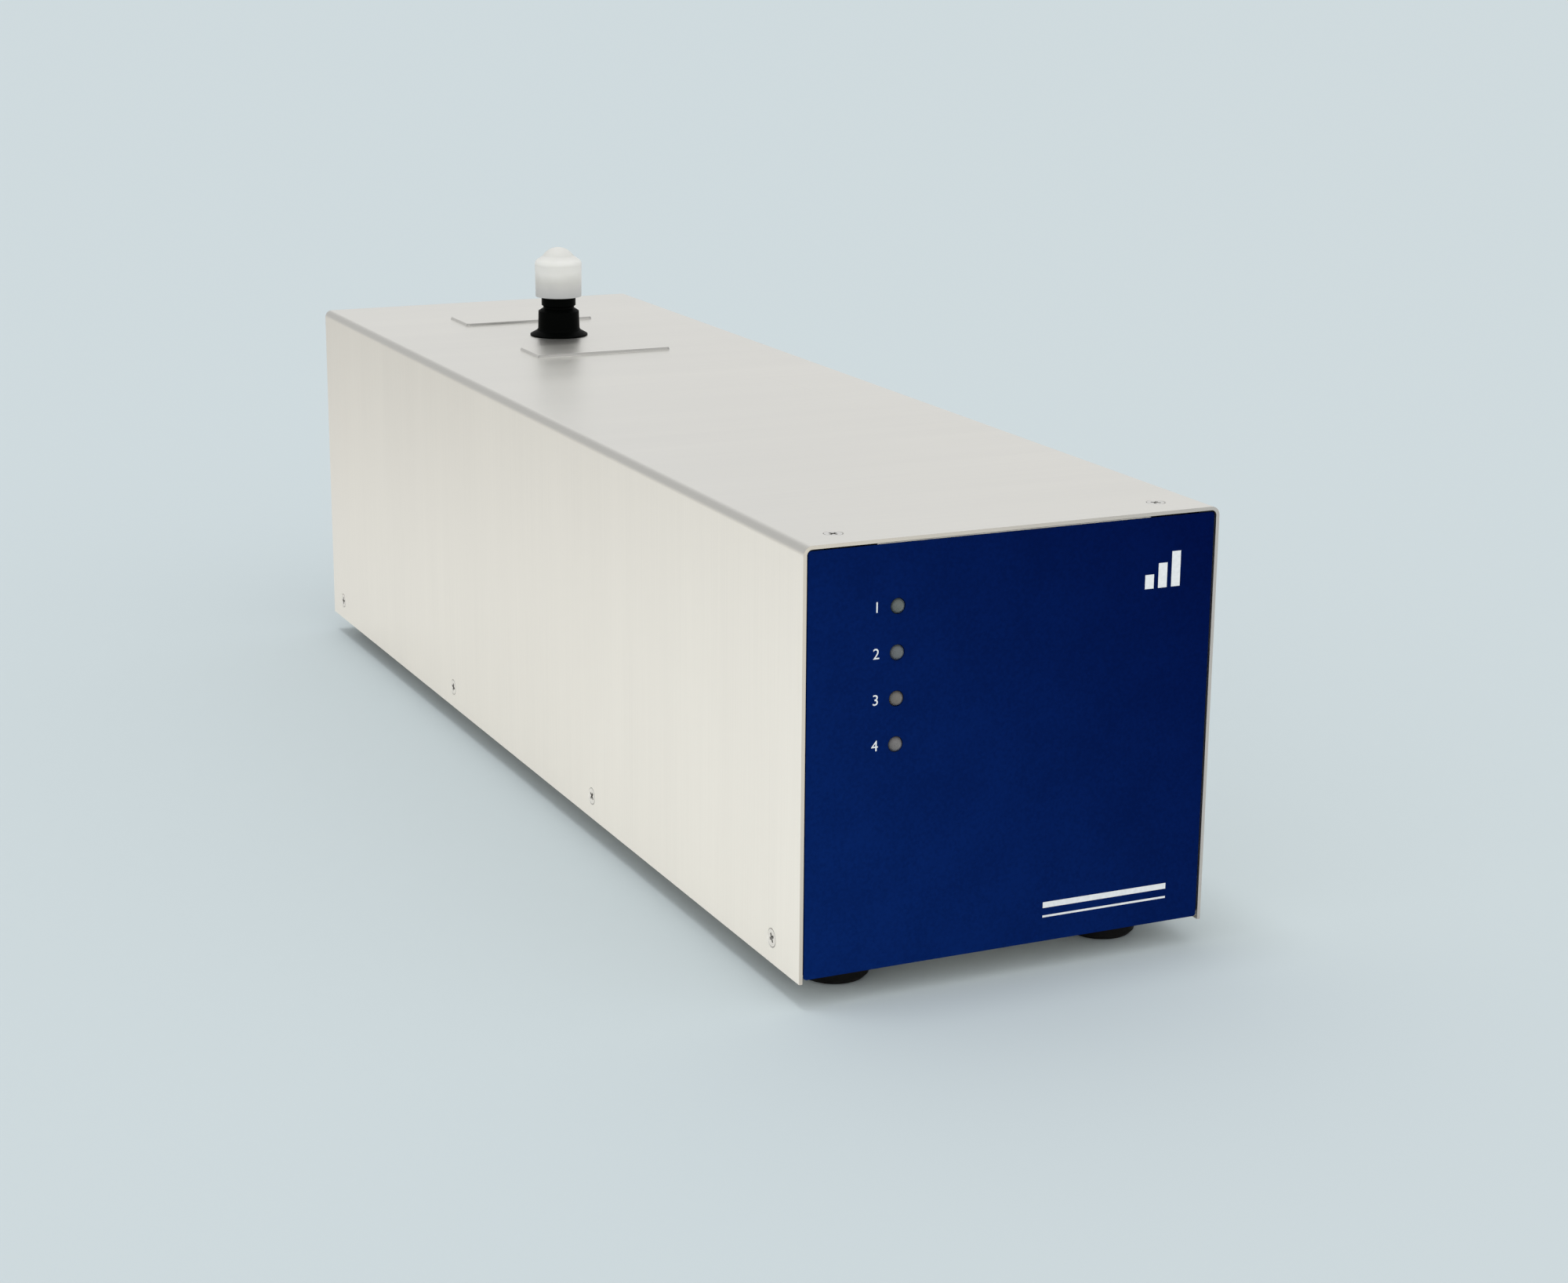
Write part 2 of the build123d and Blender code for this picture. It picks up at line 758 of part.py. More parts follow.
def make_mirror_mount():
    """Collecting mirror in the front optics bore, with a concave face."""
    mount = rod(optic_bore_radius, -optic_bore_radius, 0) + rod(mirror_flange_radius, 0, mirror_flange)
    mount -= Pos(0, 0, -optic_bore_radius) * Cone(mirror_face_radius, mirror_middle_radius, mirror_hollow)
    return facing_front(0, inlet_depth - sensor_run / 2, optic_height) * mount


def make_detector_board():
    return block((-detector_half_width, detector_half_width),
                 (detector_face, detector_face + board_thickness),
                 (optic_height - detector_half_height, optic_height + detector_half_height))


def make_photodetector():
    """Detector can between its board and the rear optics bore."""
    can = rod(can_flange_radius, 0, can_flange) + rod(can_radius, can_flange, can_height)
    return facing_front(0, detector_face, optic_height) * can


def detector_spacers():
    spacer = collar(detector_post_radius, detector_post_bore, 0, detector_gap)
    heights = [optic_height + end * detector_post_z for end in (-1, 1)]
    return [facing_front(side * detector_post_x, detector_face, z) * spacer for side in (-1, 1) for z in heights]


def make_sensor_bracket():
    """Hat-shaped bracket that carries the sensor over the floor."""
    middle = sensor_low - bracket_sheet / 2
    foot = floor_high + bracket_sheet / 2
    right = [(sensor_bracket_half, middle), (sensor_bracket_half, foot), (sensor_bracket_foot, foot)]
    left = [(-x, z) for x, z in reversed(right)]
    bracket = folded(left + right, bracket_sheet, bracket_bend, sensor_bracket_width, along(inlet_depth))
    for place in sensor_bracket_screw_places():
        bracket -= place * Cylinder(pan_shank_radius, through)
    return bracket


def sensor_bracket_screw_places():
    return [at(side * sensor_bracket_hole_x, inlet_depth, floor_high + bracket_sheet) for side in (-1, 1)]


# Blower

def blower_place():
    """Blower frame: local z = 0 on its intake side, the motor towards the front."""
    return facing_front(0, blower_depth, blower_height)


def volute_outline(inset):
    """Spiral that widens to the outlet duct, drawn inside the outer wall by the inset."""
    start = math.radians(volute_tongue_deg)
    points = []
    for i in range(volute_turns + 1):
        part = i / volute_turns
        angle = start + (2 * math.pi - start) * part
        radius = volute_start_radius + (volute_end_radius - volute_start_radius) * part - inset
        points.append((radius * math.cos(angle), radius * math.sin(angle)))
    spiral = Spline(*points)
    top = blower_duct_top - inset
    left = points[0][0]
    duct = Polyline(points[-1], (points[-1][0], top), (left + 2 * inset, top), points[0])
    return make_face(spiral + duct)


def make_blower_housing():
    """Open volute with the motor's seat in its back wall."""
    body = extrude(volute_outline(0), blower_thickness)
    body -= extrude(volute_outline(volute_wall), blower_thickness - volute_wall)
    body -= rod(bush_radius, 0, blower_thickness + overcut)
    outlet = Pos(blower_outlet_x, blower_duct_top, blower_thickness / 2) * Rot(-90, 0, 0)
    body += outlet * rod(nozzle_radius, -volute_wall, nozzle_length)
    body -= outlet * rod(nozzle_bore, -volute_wall - overcut, nozzle_length + overcut)
    return blower_place() * body


def make_blower_cover():
    """Lid of the volute with the intake nozzle."""
    lid = extrude(volute_outline(0), -volute_wall)
    lid += rod(nozzle_radius, -volute_wall - nozzle_length, -volute_wall)
    lid -= rod(nozzle_bore, -volute_wall - nozzle_length - overcut, overcut)
    return blower_place() * lid


def blade(angle):
    """Backward-curved blade from the eye to the rim."""
    inner = impeller_eye_radius
    outer = impeller_radius - blade_inset
    turn = math.radians(angle)
    end_turn = turn - math.radians(blade_sweep_deg)
    start = (inner * math.cos(turn), inner * math.sin(turn))
    end = (outer * math.cos(end_turn), outer * math.sin(end_turn))
    return extrude(trace(RadiusArc(start, end, -outer), blade_thickness), impeller_height)


def make_impeller():
    """Shrouded centrifugal wheel: back disc, hub, curved blades and front ring."""
    wheel = rod(impeller_radius, impeller_height - impeller_disc, impeller_height)
    wheel += turned(impeller_hub)
    for i in range(blade_count):
        wheel += blade(360 * i / blade_count)
    wheel += tube(impeller_radius, impeller_ring_radius, 0, impeller_disc)
    wheel -= rod(shaft_radius, 0, impeller_height + overcut)
    return blower_place() * Pos(0, 0, impeller_level) * wheel


def make_impeller_shaft():
    return blower_place() * rod(shaft_radius, shaft_start, motor_top - motor_end)


def make_motor_bushes():
    """Bushes that carry the shaft, one in the housing's back wall and one in the can's end."""
    bore = shaft_radius + shaft_slip
    near = tube(bush_radius, bore, blower_thickness - volute_wall, blower_thickness + bush_length)
    far = tube(bush_radius, bore, motor_top - motor_end - bush_length, motor_top - motor_end)
    return group([blower_place() * near, blower_place() * far])


def make_motor_can():
    """Deep-drawn can with an end wall that holds the far bush, and a flange on the volute."""
    low = blower_thickness
    can = rod(motor_radius, low, motor_top)
    can += rod(motor_radius + motor_flange, low, low + motor_flange_thickness)
    can -= rod(motor_radius - motor_wall, low - overcut, motor_top - motor_end)
    can += tube(bush_seat_radius, bush_radius, motor_top - bush_seat_low, motor_top - bush_seat_high)
    return blower_place() * can


def make_motor_stator():
    """Laminated ring with poles that point at the rotor."""
    outer = motor_radius - motor_wall
    ring = Circle(outer) - Circle(outer - stator_ring)
    for i in range(stator_poles):
        ring += Rot(0, 0, 360 * i / stator_poles) * Pos(pole_middle, 0) * Rectangle(pole_length, pole_width)
    return blower_place() * Pos(0, 0, blower_thickness + stator_level) * extrude(ring, stator_height)


def make_motor_rotor():
    low = blower_thickness + stator_level
    return blower_place() * tube(rotor_radius, shaft_radius, low, low + stator_height)


def make_blower_bracket():
    """Angle that holds the blower's back wall over the floor."""
    middle = blower_bracket_wall - bracket_sheet / 2
    foot = floor_high + bracket_sheet / 2
    corners = [(middle, blower_bracket_top), (middle, foot), (middle - blower_bracket_foot, foot)]
    bracket = folded(corners, bracket_sheet, bracket_bend, blower_bracket_width, across())
    clearance = rod(motor_radius + motor_flange + blower_bracket_slip, 0, blower_thickness + through)
    bracket -= blower_place() * clearance
    for place in blower_bracket_screw_places():
        bracket -= place * Cylinder(pan_shank_radius, through)
    return bracket


def blower_bracket_screw_places():
    depth = blower_bracket_wall - blower_bracket_hole_back
    return [at(side * blower_bracket_hole_x, depth, floor_high + bracket_sheet) for side in (-1, 1)]


def bracket_screw_places():
    """Places on top of the feet of the two brackets."""
    return sensor_bracket_screw_places() + blower_bracket_screw_places()


# Hoses and exhaust

def straight_hose(x, start, end, z):
    """Hose along the case between two depths."""
    return facing_front(x, end, z) * tube(hose_radius, nozzle_radius, 0, end - start)


def make_suction_hose():
    start = blower_depth + volute_wall + hose_gap
    end = inlet_depth - sensor_run / 2 - nozzle_flange - hose_gap
    return straight_hose(0, start, end, blower_height)


def make_delivery_hose():
    """Hose from the blower's outlet up and back to the filter."""
    x = blower_outlet_x
    y = front_y + blower_depth - blower_thickness / 2
    low = blower_height + blower_duct_top + hose_gap
    end = front_y + filter_depths[0] - hose_gap
    path = FilletPolyline((x, y, low), (x, y, filter_height), (x, end, filter_height), radius=delivery_bend)
    ring = Circle(hose_radius) - Circle(nozzle_radius)
    return sweep(Plane(origin=path @ 0, z_dir=path % 0) * ring, path=path)


def make_exhaust_hose():
    end = rear_outside - exhaust_shank_length
    return straight_hose(blower_outlet_x, filter_depths[1] + hose_gap, end, filter_height)


def make_exhaust_filter():
    """Filter capsule with domed ends, a waisted middle and a nozzle at each end."""
    length = filter_depths[1] - filter_depths[0]
    half = [
        (nozzle_bore, -nozzle_length), (nozzle_radius, -nozzle_length), (nozzle_radius, 0),
        (filter_radius - filter_cap_slope, filter_step), (filter_radius, filter_cap_round),
        (filter_radius, filter_band - filter_step), (filter_radius - filter_step, filter_band)]
    profile = half + [(radius, length - z) for radius, z in reversed(half)]
    return facing_front(blower_outlet_x, filter_depths[1], filter_height) * turned(profile)


def make_exhaust_fitting():
    """Bulkhead exhaust: plain stub outside, thread through the wall and nozzle inside."""
    stub = exhaust_reach + panel_recess
    shoulder = stub - exhaust_hex_height - exhaust_shoulder_run
    shank_end = stub + exhaust_shank_length
    tail_end = stub + chassis_sheet + exhaust_tail
    radius = exhaust_stub_radius
    body = turned([(0, 0), (radius - exhaust_entry, 0), (radius, exhaust_entry), (radius, shoulder),
                   (exhaust_shank_radius, shoulder), (exhaust_shank_radius, shank_end),
                   (nozzle_radius, shank_end), (nozzle_radius, tail_end), (0, tail_end)])
    hexagon = RegularPolygon(exhaust_hex / 2, 6, major_radius=False)
    body += Pos(0, 0, stub - exhaust_hex_height) * extrude(hexagon, exhaust_hex_height)
    body -= rod(nozzle_bore, -overcut, tail_end + overcut)
    return facing_front(blower_outlet_x, cover_length + exhaust_reach, filter_height) * body


def make_exhaust_locknut():
    hexagon = RegularPolygon(exhaust_hex / 2, 6, major_radius=False)
    nut = extrude(hexagon - Circle(exhaust_shank_radius), exhaust_nut_height)
    return facing_front(blower_outlet_x, rear_inside, filter_height) * nut


# Circuit boards

def board_corners(half_width, depths):
    x = half_width - board_hole_inset
    ends = (depths[0] + board_hole_inset, depths[1] - board_hole_inset)
    return [(side * x, depth) for side in (-1, 1) for depth in ends]


def floor_board(width, depths):
    board = block((-width / 2, width / 2), depths, (board_level, board_top))
    for x, depth in board_corners(width / 2, depths):
        board -= at(x, depth, board_level) * rod(pan_shank_radius, -overcut, board_thickness + overcut)
    return board


def floor_board_screws():
    """Places of the screws on top of the two floor boards."""
    corners = board_corners(main_board_width / 2, main_board_depths)
    corners += board_corners(rear_board_width / 2, rear_board_depths)
    return [at(x, depth, board_top) for x, depth in corners]


def lamp_board_points():
    return [(lamp_x, lamp_middle + side * lamp_post_spread) for side in (-1, 1)]


def make_lamp_board():
    half_width = lamp_board_width / 2
    half_height = lamp_board_height / 2
    board = block((lamp_x - half_width, lamp_x + half_width), (lamp_face, lamp_back),
                  (lamp_middle - half_height, lamp_middle + half_height))
    for x, z in lamp_board_points():
        board -= facing_front(x, lamp_face, z) * rod(pan_shank_radius, -through, through)
    return board


def make_board_standoffs():
    """Posts under the floor boards, short ones for the lamp board and the detector board."""
    post_foot = -board_thickness - standoff_height
    floor_post = collar(standoff_radius, pan_shank_radius, post_foot, -board_thickness)
    wall_post = collar(standoff_radius, pan_shank_radius, 0, lamp_board_gap)
    posts = [place * floor_post for place in floor_board_screws()]
    posts += [facing_front(x, lamp_face, z) * wall_post for x, z in lamp_board_points()]
    return group(posts + detector_spacers())


def make_pan_screws():
    """Pan-head screws of the boards and brackets."""
    down = Rot(180, 0, 0)
    long = down * pan_screw(pan_head_radius, pan_head_height, pan_shank_radius, pan_length)
    lamp = pan_screw(pan_head_radius, pan_head_height, pan_shank_radius, board_thickness + lamp_board_gap)
    short = down * pan_screw(pan_head_radius, pan_head_height, pan_shank_radius, bracket_screw_length)
    screws = [place * long for place in floor_board_screws()]
    screws += [facing_front(x, lamp_back, z) * lamp for x, z in lamp_board_points()]
    screws += [place * short for place in bracket_screw_places()]
    return group(screws)


def make_heat_sink():
    """Extruded heat sink on the power stage."""
    sink = block(heat_sink_x, heat_sink_depths, (board_top, board_top + heat_sink_base))
    for i in range(heat_sink_fins):
        x = heat_sink_x[0] + heat_sink_pitch * i
        sink += block((x, x + heat_sink_fin), heat_sink_depths, (board_top, board_top + heat_sink_height))
    return sink


def make_capacitors():
    can = rod(capacitor_radius, 0, capacitor_height)
    return group([at(x, depth, board_top) * can for x, depth in capacitor_places])


def make_chips():
    """Processor and its memories."""
    return group([block(x, depth, (board_top, board_top + chip_height)) for x, depth in chip_places])


def make_pin_headers():
    """Shrouded headers that the leads plug into."""
    high = board_top + header_height
    inner_width = header_half_width - header_wall
    inner_run = header_half_run - header_wall
    headers = []
    for depth in header_depths:
        header = block((lamp_x - header_half_width, lamp_x + header_half_width),
                       (depth - header_half_run, depth + header_half_run), (board_top, high))
        header -= block((lamp_x - inner_width, lamp_x + inner_width),
                        (depth - inner_run, depth + inner_run), (board_top + header_floor, high + overcut))
        headers.append(header)
    return group(headers)


# Rear connectors

def connector_windows():
    """Openings in the rear wall: x, width and height above the board."""
    sizes = [(ethernet_x, ethernet_half_width, ethernet_height), (power_x, power_half_width, power_height),
             (terminal_x, terminal_half_width, terminal_height)]
    return [(x, 2 * (half + window_slip), height + 2 * window_slip) for x, half, height in sizes]


def rear_block(x, half_width, length, low, high, back=0.0):
    """Box that runs forward from the sockets' faces, between two levels over the board."""
    return block((x - half_width, x + half_width), (socket_face - length, socket_face + back),
                 (board_top + low, board_top + high))


def make_ethernet_jack():
    """Shielded network socket with a stepped mouth and a latch notch."""
    jack = rear_block(ethernet_x, ethernet_half_width, ethernet_length, 0, ethernet_height)
    for half_width, levels in ((ethernet_mouth_half, ethernet_mouth), (ethernet_latch_half, ethernet_latch)):
        jack -= rear_block(ethernet_x, half_width, ethernet_mouth_length, *levels, back=overcut)
    return jack


def make_power_jack():
    """Low-voltage socket with its centre pin."""
    jack = rear_block(power_x, power_half_width, power_length, 0, power_height)
    mouth = at(power_x, socket_face, board_top + power_axis) * Rot(90, 0, 0)
    jack -= mouth * rod(power_mouth_radius, -overcut, power_mouth_length)
    return jack + mouth * rod(power_pin_radius, power_pin_setback, power_mouth_length + overcut)


def make_terminal_header():
    """Shrouded header for a pluggable terminal block."""
    inner = terminal_half_width - terminal_wall
    header = rear_block(terminal_x, terminal_half_width, terminal_length, 0, terminal_height)
    header -= rear_block(terminal_x, inner, terminal_mouth_length, *terminal_mouth, back=overcut)
    for i in range(terminal_pins):
        x = terminal_x + terminal_pitch * (i - (terminal_pins - 1) / 2)
        header += rear_block(x, terminal_pin / 2, terminal_mouth_length + overcut, *terminal_pin_z,
                             back=terminal_pin_length - terminal_mouth_length - overcut)
    return header


# Leads

def make_lamp_ribbon():
    """Flat ribbon from the lamp board down to the main board's front header."""
    face = lamp_back + ribbon_thickness / 2
    plug = header_depths[0]
    bow = [(lamp_back + reach, z) for reach, z in ribbon_bow]
    start = [(face, ribbon_top), (face, ribbon_top - ribbon_drop)]
    end = [(plug, bow[-1][1]), (plug, board_top + plug_level)]
    return folded(start + bow + end, ribbon_thickness, ribbon_bend, ribbon_width, across(lamp_x))


def bent_lead(start, bends, radius):
    """Round lead along (x, depth, z) corners, ending in the rear header under its last bend."""
    x, depth, _ = bends[-1]
    points = [start] + bends + [(x, depth, board_top + plug_level)]
    path = FilletPolyline(*[(x, front_y + depth, z) for x, depth, z in points], radius=lead_bend)
    return sweep(Plane(origin=path @ 0, z_dir=path % 0) * Circle(radius), path=path)


def motor_lead():
    start = (0.0, blower_depth - motor_top, motor_lead_bends[0][2])
    return bent_lead(start, motor_lead_bends, motor_lead_radius)


def laser_lead():
    start = (-sensor_width / 2 - laser_length, inlet_depth, optic_height)
    return bent_lead(start, laser_lead_bends, laser_lead_radius)


nodes = {
    "chassis": make_chassis,
    "top_cover": make_top_cover,
    "front_panel": make_front_panel,
    "cover_side_screws": lambda: group([place * flat_screw() for place in side_screw_places()]),
    "cover_top_screws": lambda: group([place * flat_screw() for place in top_screw_places()]),
    "clinch_nuts": make_clinch_nuts,
    "foot_screws": make_foot_screws,
    "foot_nuts": make_foot_nuts,
    "inlet_fitting": make_inlet_fitting,
    "inlet_locknut": make_inlet_locknut,
    "inlet_cap": make_inlet_cap,
    "inlet_tube": make_inlet_tube,
    "sensor_block": make_sensor_block,
    "sensor_nozzles": make_sensor_nozzles,
    "laser_module": make_laser_module,
    "laser_heat_sink": make_laser_heat_sink,
    "beam_dump": make_beam_dump,
    "mirror_mount": make_mirror_mount,
    "detector_board": make_detector_board,
    "photodetector": make_photodetector,
    "sensor_bracket": make_sensor_bracket,
    "blower_housing": make_blower_housing,
    "blower_cover": make_blower_cover,
    "impeller": make_impeller,
    "impeller_shaft": make_impeller_shaft,
    "motor_bushes": make_motor_bushes,
    "motor_can": make_motor_can,
    "motor_stator": make_motor_stator,
    "motor_rotor": make_motor_rotor,
    "blower_bracket": make_blower_bracket,
    "suction_hose": make_suction_hose,
    "delivery_hose": make_delivery_hose,
    "exhaust_hose": make_exhaust_hose,
    "exhaust_filter": make_exhaust_filter,
    "exhaust_fitting": make_exhaust_fitting,
    "exhaust_locknut": make_exhaust_locknut,
    "main_board": lambda: floor_board(main_board_width, main_board_depths),
    "rear_board": lambda: floor_board(rear_board_width, rear_board_depths),
    "lamp_board": make_lamp_board,
    "board_standoffs": make_board_standoffs,
    "pan_screws": make_pan_screws,
    "heat_sink": make_heat_sink,
    "capacitors": make_capacitors,
    "chips": make_chips,
    "pin_headers": make_pin_headers,
    "ethernet_jack": make_ethernet_jack,
    "power_jack": make_power_jack,
    "terminal_header": make_terminal_header,
    "lamp_ribbon": make_lamp_ribbon,
    "internal_leads": lambda: group([motor_lead(), laser_lead()]),
}


def write_parts():
    os.makedirs("parts", exist_ok=True)
    for name, make in nodes.items():
        export_step(make(), f"parts/{name}.step")
    for number, z in enumerate(lamp_heights, start=1):
        export_step(make_lamp(z), f"parts/indicator_lamp_{number}.step")
    for number, place in enumerate(foot_places(), start=1):
        export_step(place * make_foot(), f"parts/rubber_foot_{number}.step")


write_parts()
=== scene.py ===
"""Looks of the airborne particle counter: finishes, detailed screws, panel marks, camera and studio."""
import math

import bmesh
import bpy
from mathutils import Matrix, Vector


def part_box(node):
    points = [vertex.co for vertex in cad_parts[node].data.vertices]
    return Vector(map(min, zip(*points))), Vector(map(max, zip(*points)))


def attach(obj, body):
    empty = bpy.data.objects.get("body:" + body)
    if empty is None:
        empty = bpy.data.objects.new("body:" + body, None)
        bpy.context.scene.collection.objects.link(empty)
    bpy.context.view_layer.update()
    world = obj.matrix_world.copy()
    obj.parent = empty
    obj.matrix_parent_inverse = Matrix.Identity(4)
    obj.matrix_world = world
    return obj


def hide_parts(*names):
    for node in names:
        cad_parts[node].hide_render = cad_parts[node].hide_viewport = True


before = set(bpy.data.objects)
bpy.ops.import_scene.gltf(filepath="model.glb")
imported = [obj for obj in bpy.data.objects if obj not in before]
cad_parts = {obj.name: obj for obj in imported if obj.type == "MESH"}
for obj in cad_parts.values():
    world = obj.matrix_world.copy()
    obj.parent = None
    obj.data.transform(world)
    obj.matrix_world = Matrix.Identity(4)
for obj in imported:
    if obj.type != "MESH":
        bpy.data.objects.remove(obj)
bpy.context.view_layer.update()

MM = 0.001

# Photographed view, in the row frame
CAMERA_PLACE = Vector((-0.3758, -0.8861, 0.2988))
CAMERA_AZIMUTH = math.radians(-25.037)
CAMERA_ELEVATION = math.radians(15.0745)
CAMERA_ROLL = math.radians(0.508)
CAMERA_LENS = 66.47
SENSOR_WIDTH = 36.0

# Places of the case, its front panel and its cap
cover_low, cover_high = (Vector(corner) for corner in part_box("top_cover"))
panel_low, panel_high = (Vector(corner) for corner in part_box("front_panel"))
cap_low, cap_high = (Vector(corner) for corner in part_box("inlet_cap"))
PANEL_FACE = panel_low.y
COVER_TOP = 128.2 * MM
COVER_SHEET = 1.0 * MM
CUT_EDGE = 0.12 * MM

# Slots round the panel, through which the front wall shows, and where it gets painted shade
SLOT_REACH = (61.80 * MM, 61.90 * MM)
NOTCH_REACH = (41.6 * MM, 41.9 * MM)
NOTCH_LEVEL = (126.3 * MM, 126.4 * MM)
WALL_DEPTH = (4.0 * MM, 5.0 * MM)

# Tones of the case: painted shade where the lean of the surface starts and ends a bend and on the pads'
# front walls, and the tone of its cut front edge
BEND_PAINTED_SHADE = 0.90
BEND_START = (0.12, 0.35)
BEND_END = (0.94, 0.995)
PAD_PAINTED_SHADE = 0.46
PAD_LEVEL = (0.03 * MM, 0.06 * MM)
PAD_FACING = (-0.45, -0.10)
# Cut front edge: its own duller tone at the left, with painted shade making it darker towards the right
EDGE_LEFT = (0.58, 0.555, 0.50)
EDGE_RIGHT_PAINTED_SHADE = (0.41, 0.41, 0.40)
# Painted shade on the chassis front wall in the slots round the panel
SLOT_PAINTED_SHADE = (0.020, 0.024, 0.032)

# Blue of the panel with painted light: shaded at the upper right, lighter at the lower left
BLUE_PAINTED_SHADE = (0.0005, 0.0060, 0.0630)
BLUE_PAINTED_LIGHT = (0.0031, 0.0213, 0.1400)

# Cap tones from its foot to its crown, with painted shade: grey at the foot over the hollow skirt and darker
# on the crown; lamp lenses from the top one down, with painted shade towards their rims
CAP_PAINTED_TONES = [(0.06, (0.56, 0.57, 0.57)), (0.20, (0.64, 0.64, 0.63)), (0.33, (0.73, 0.73, 0.70)),
             (0.50, (0.93, 0.93, 0.89)), (0.64, (0.91, 0.91, 0.87)), (0.80, (0.75, 0.75, 0.72))]
LAMP_COLOURS = [(0.085, 0.102, 0.095), (0.092, 0.106, 0.113), (0.130, 0.117, 0.103), (0.140, 0.133, 0.131)]
LENS_MIDDLE = 0.55
LENS_RIM_PAINTED_SHADE = 0.6

# Depth of surface relief
FINE_RELIEF = 0.03 * MM
GRAIN_RELIEF = 0.05 * MM
PEEL_RELIEF = 0.10 * MM

# Metals and moulding of the sockets
SHELL_METAL = (0.70, 0.69, 0.66)
SOCKET_BLACK = (0.018, 0.018, 0.019)
MOUTH_BLACK = (0.018, 0.018, 0.020)
PIN_METAL = (0.72, 0.71, 0.68)
GILT = (0.75, 0.56, 0.22)
MASK_EDGE = 0.02 * MM
RECESS_EDGE = 0.05 * MM

# Network socket: mouth and contacts
MOUTH_HALF = 5.95 * MM
MOUTH_DEPTH = (0.25 * MM, 0.30 * MM)
WIRE_PITCH = 1.02 * MM
WIRE_HALF = 0.22 * MM
WIRE_ROW_HALF = 4.0 * MM
WIRE_LEVEL = (9.0 * MM, 9.1 * MM)

# Terminal and power sockets: pins
TERMINAL_RECESS = 1.5 * MM
TERMINAL_PITCH = 3.5 * MM
TERMINAL_HALF = 0.55 * MM
TERMINAL_ROW_HALF = 13.0 * MM
TERMINAL_LEVEL = (4.15 * MM, 5.25 * MM)
POWER_RECESS = 0.5 * MM
POWER_AXIS = 6.0 * MM
POWER_PIN = (1.05 * MM, 1.10 * MM)

# Number 4 flat-head screws
HEAD_LEVEL = -0.08 * MM
HEAD_SLOPE = 0.16 * MM
HEAD_BEVEL = 0.36 * MM
SCREW_HEAD = 2.85 * MM
SCREW_THROAT = 1.75 * MM
SCREW_SHANK = 1.42 * MM
SCREW_LENGTH = 7.0 * MM
RECESS_MOUTH = (1.40 * MM, 0.40 * MM)
RECESS_END = (0.75 * MM, 0.24 * MM)
RECESS_DEPTH = 1.4 * MM
# Material slot of the painted shade on the screws' rims and recesses
PAINTED_SHADE_SLOT = 1
FIRST_TURN = 0.5
TURN_STEP = 0.37

# Printed marks
INK_LIFT = 0.03 * MM
NUMERAL_SIZE = 4.2 * MM
NUMERAL_GAP = 3.0 * MM
STRIPE_INSET = 10.5 * MM
STRIPE_WIDTH = 40.0 * MM
STRIPES = [(9.8 * MM, 1.7 * MM), (7.0 * MM, 0.6 * MM)]
BAR_INSET = 21.5 * MM
BAR_DROP = 20.0 * MM
BAR_PITCH = 4.2 * MM
BAR_WIDTH = 2.8 * MM
BAR_HEIGHTS = [4.0 * MM, 7.0 * MM, 10.0 * MM]

# Studio
FLOOR_SIZE = 40.0
FLOOR_SEEN = (0.577, 0.650, 0.679)
BACKDROP_SEEN = (0.620, 0.705, 0.730)
FLOOR_NEAR = (0.97, 0.965, 0.935)
FLOOR_FAR = (0.62, 0.605, 0.575)
FLOOR_SPAN = (-0.15, 1.0)
WORLD_COLOUR = (1.0, 0.998, 0.99)
WORLD_LIGHT = 0.80
DARK_TOWARDS = Vector((-0.33, 0.88, 0.34))
DARK_SHARE = 0.70
DARK_EDGE = (0.84, 0.97)
FRONT_TOWARDS = Vector((-0.25, -1.0, 0.25))
FRONT_LIGHT = 1.4
FRONT_EDGE = (0.0, 0.8)
SUN_STRENGTH = 0.6
SUN_TOWARDS = Vector((-0.16, 0.08, 1.0))
SUN_SPREAD = math.radians(14.0)


# Materials

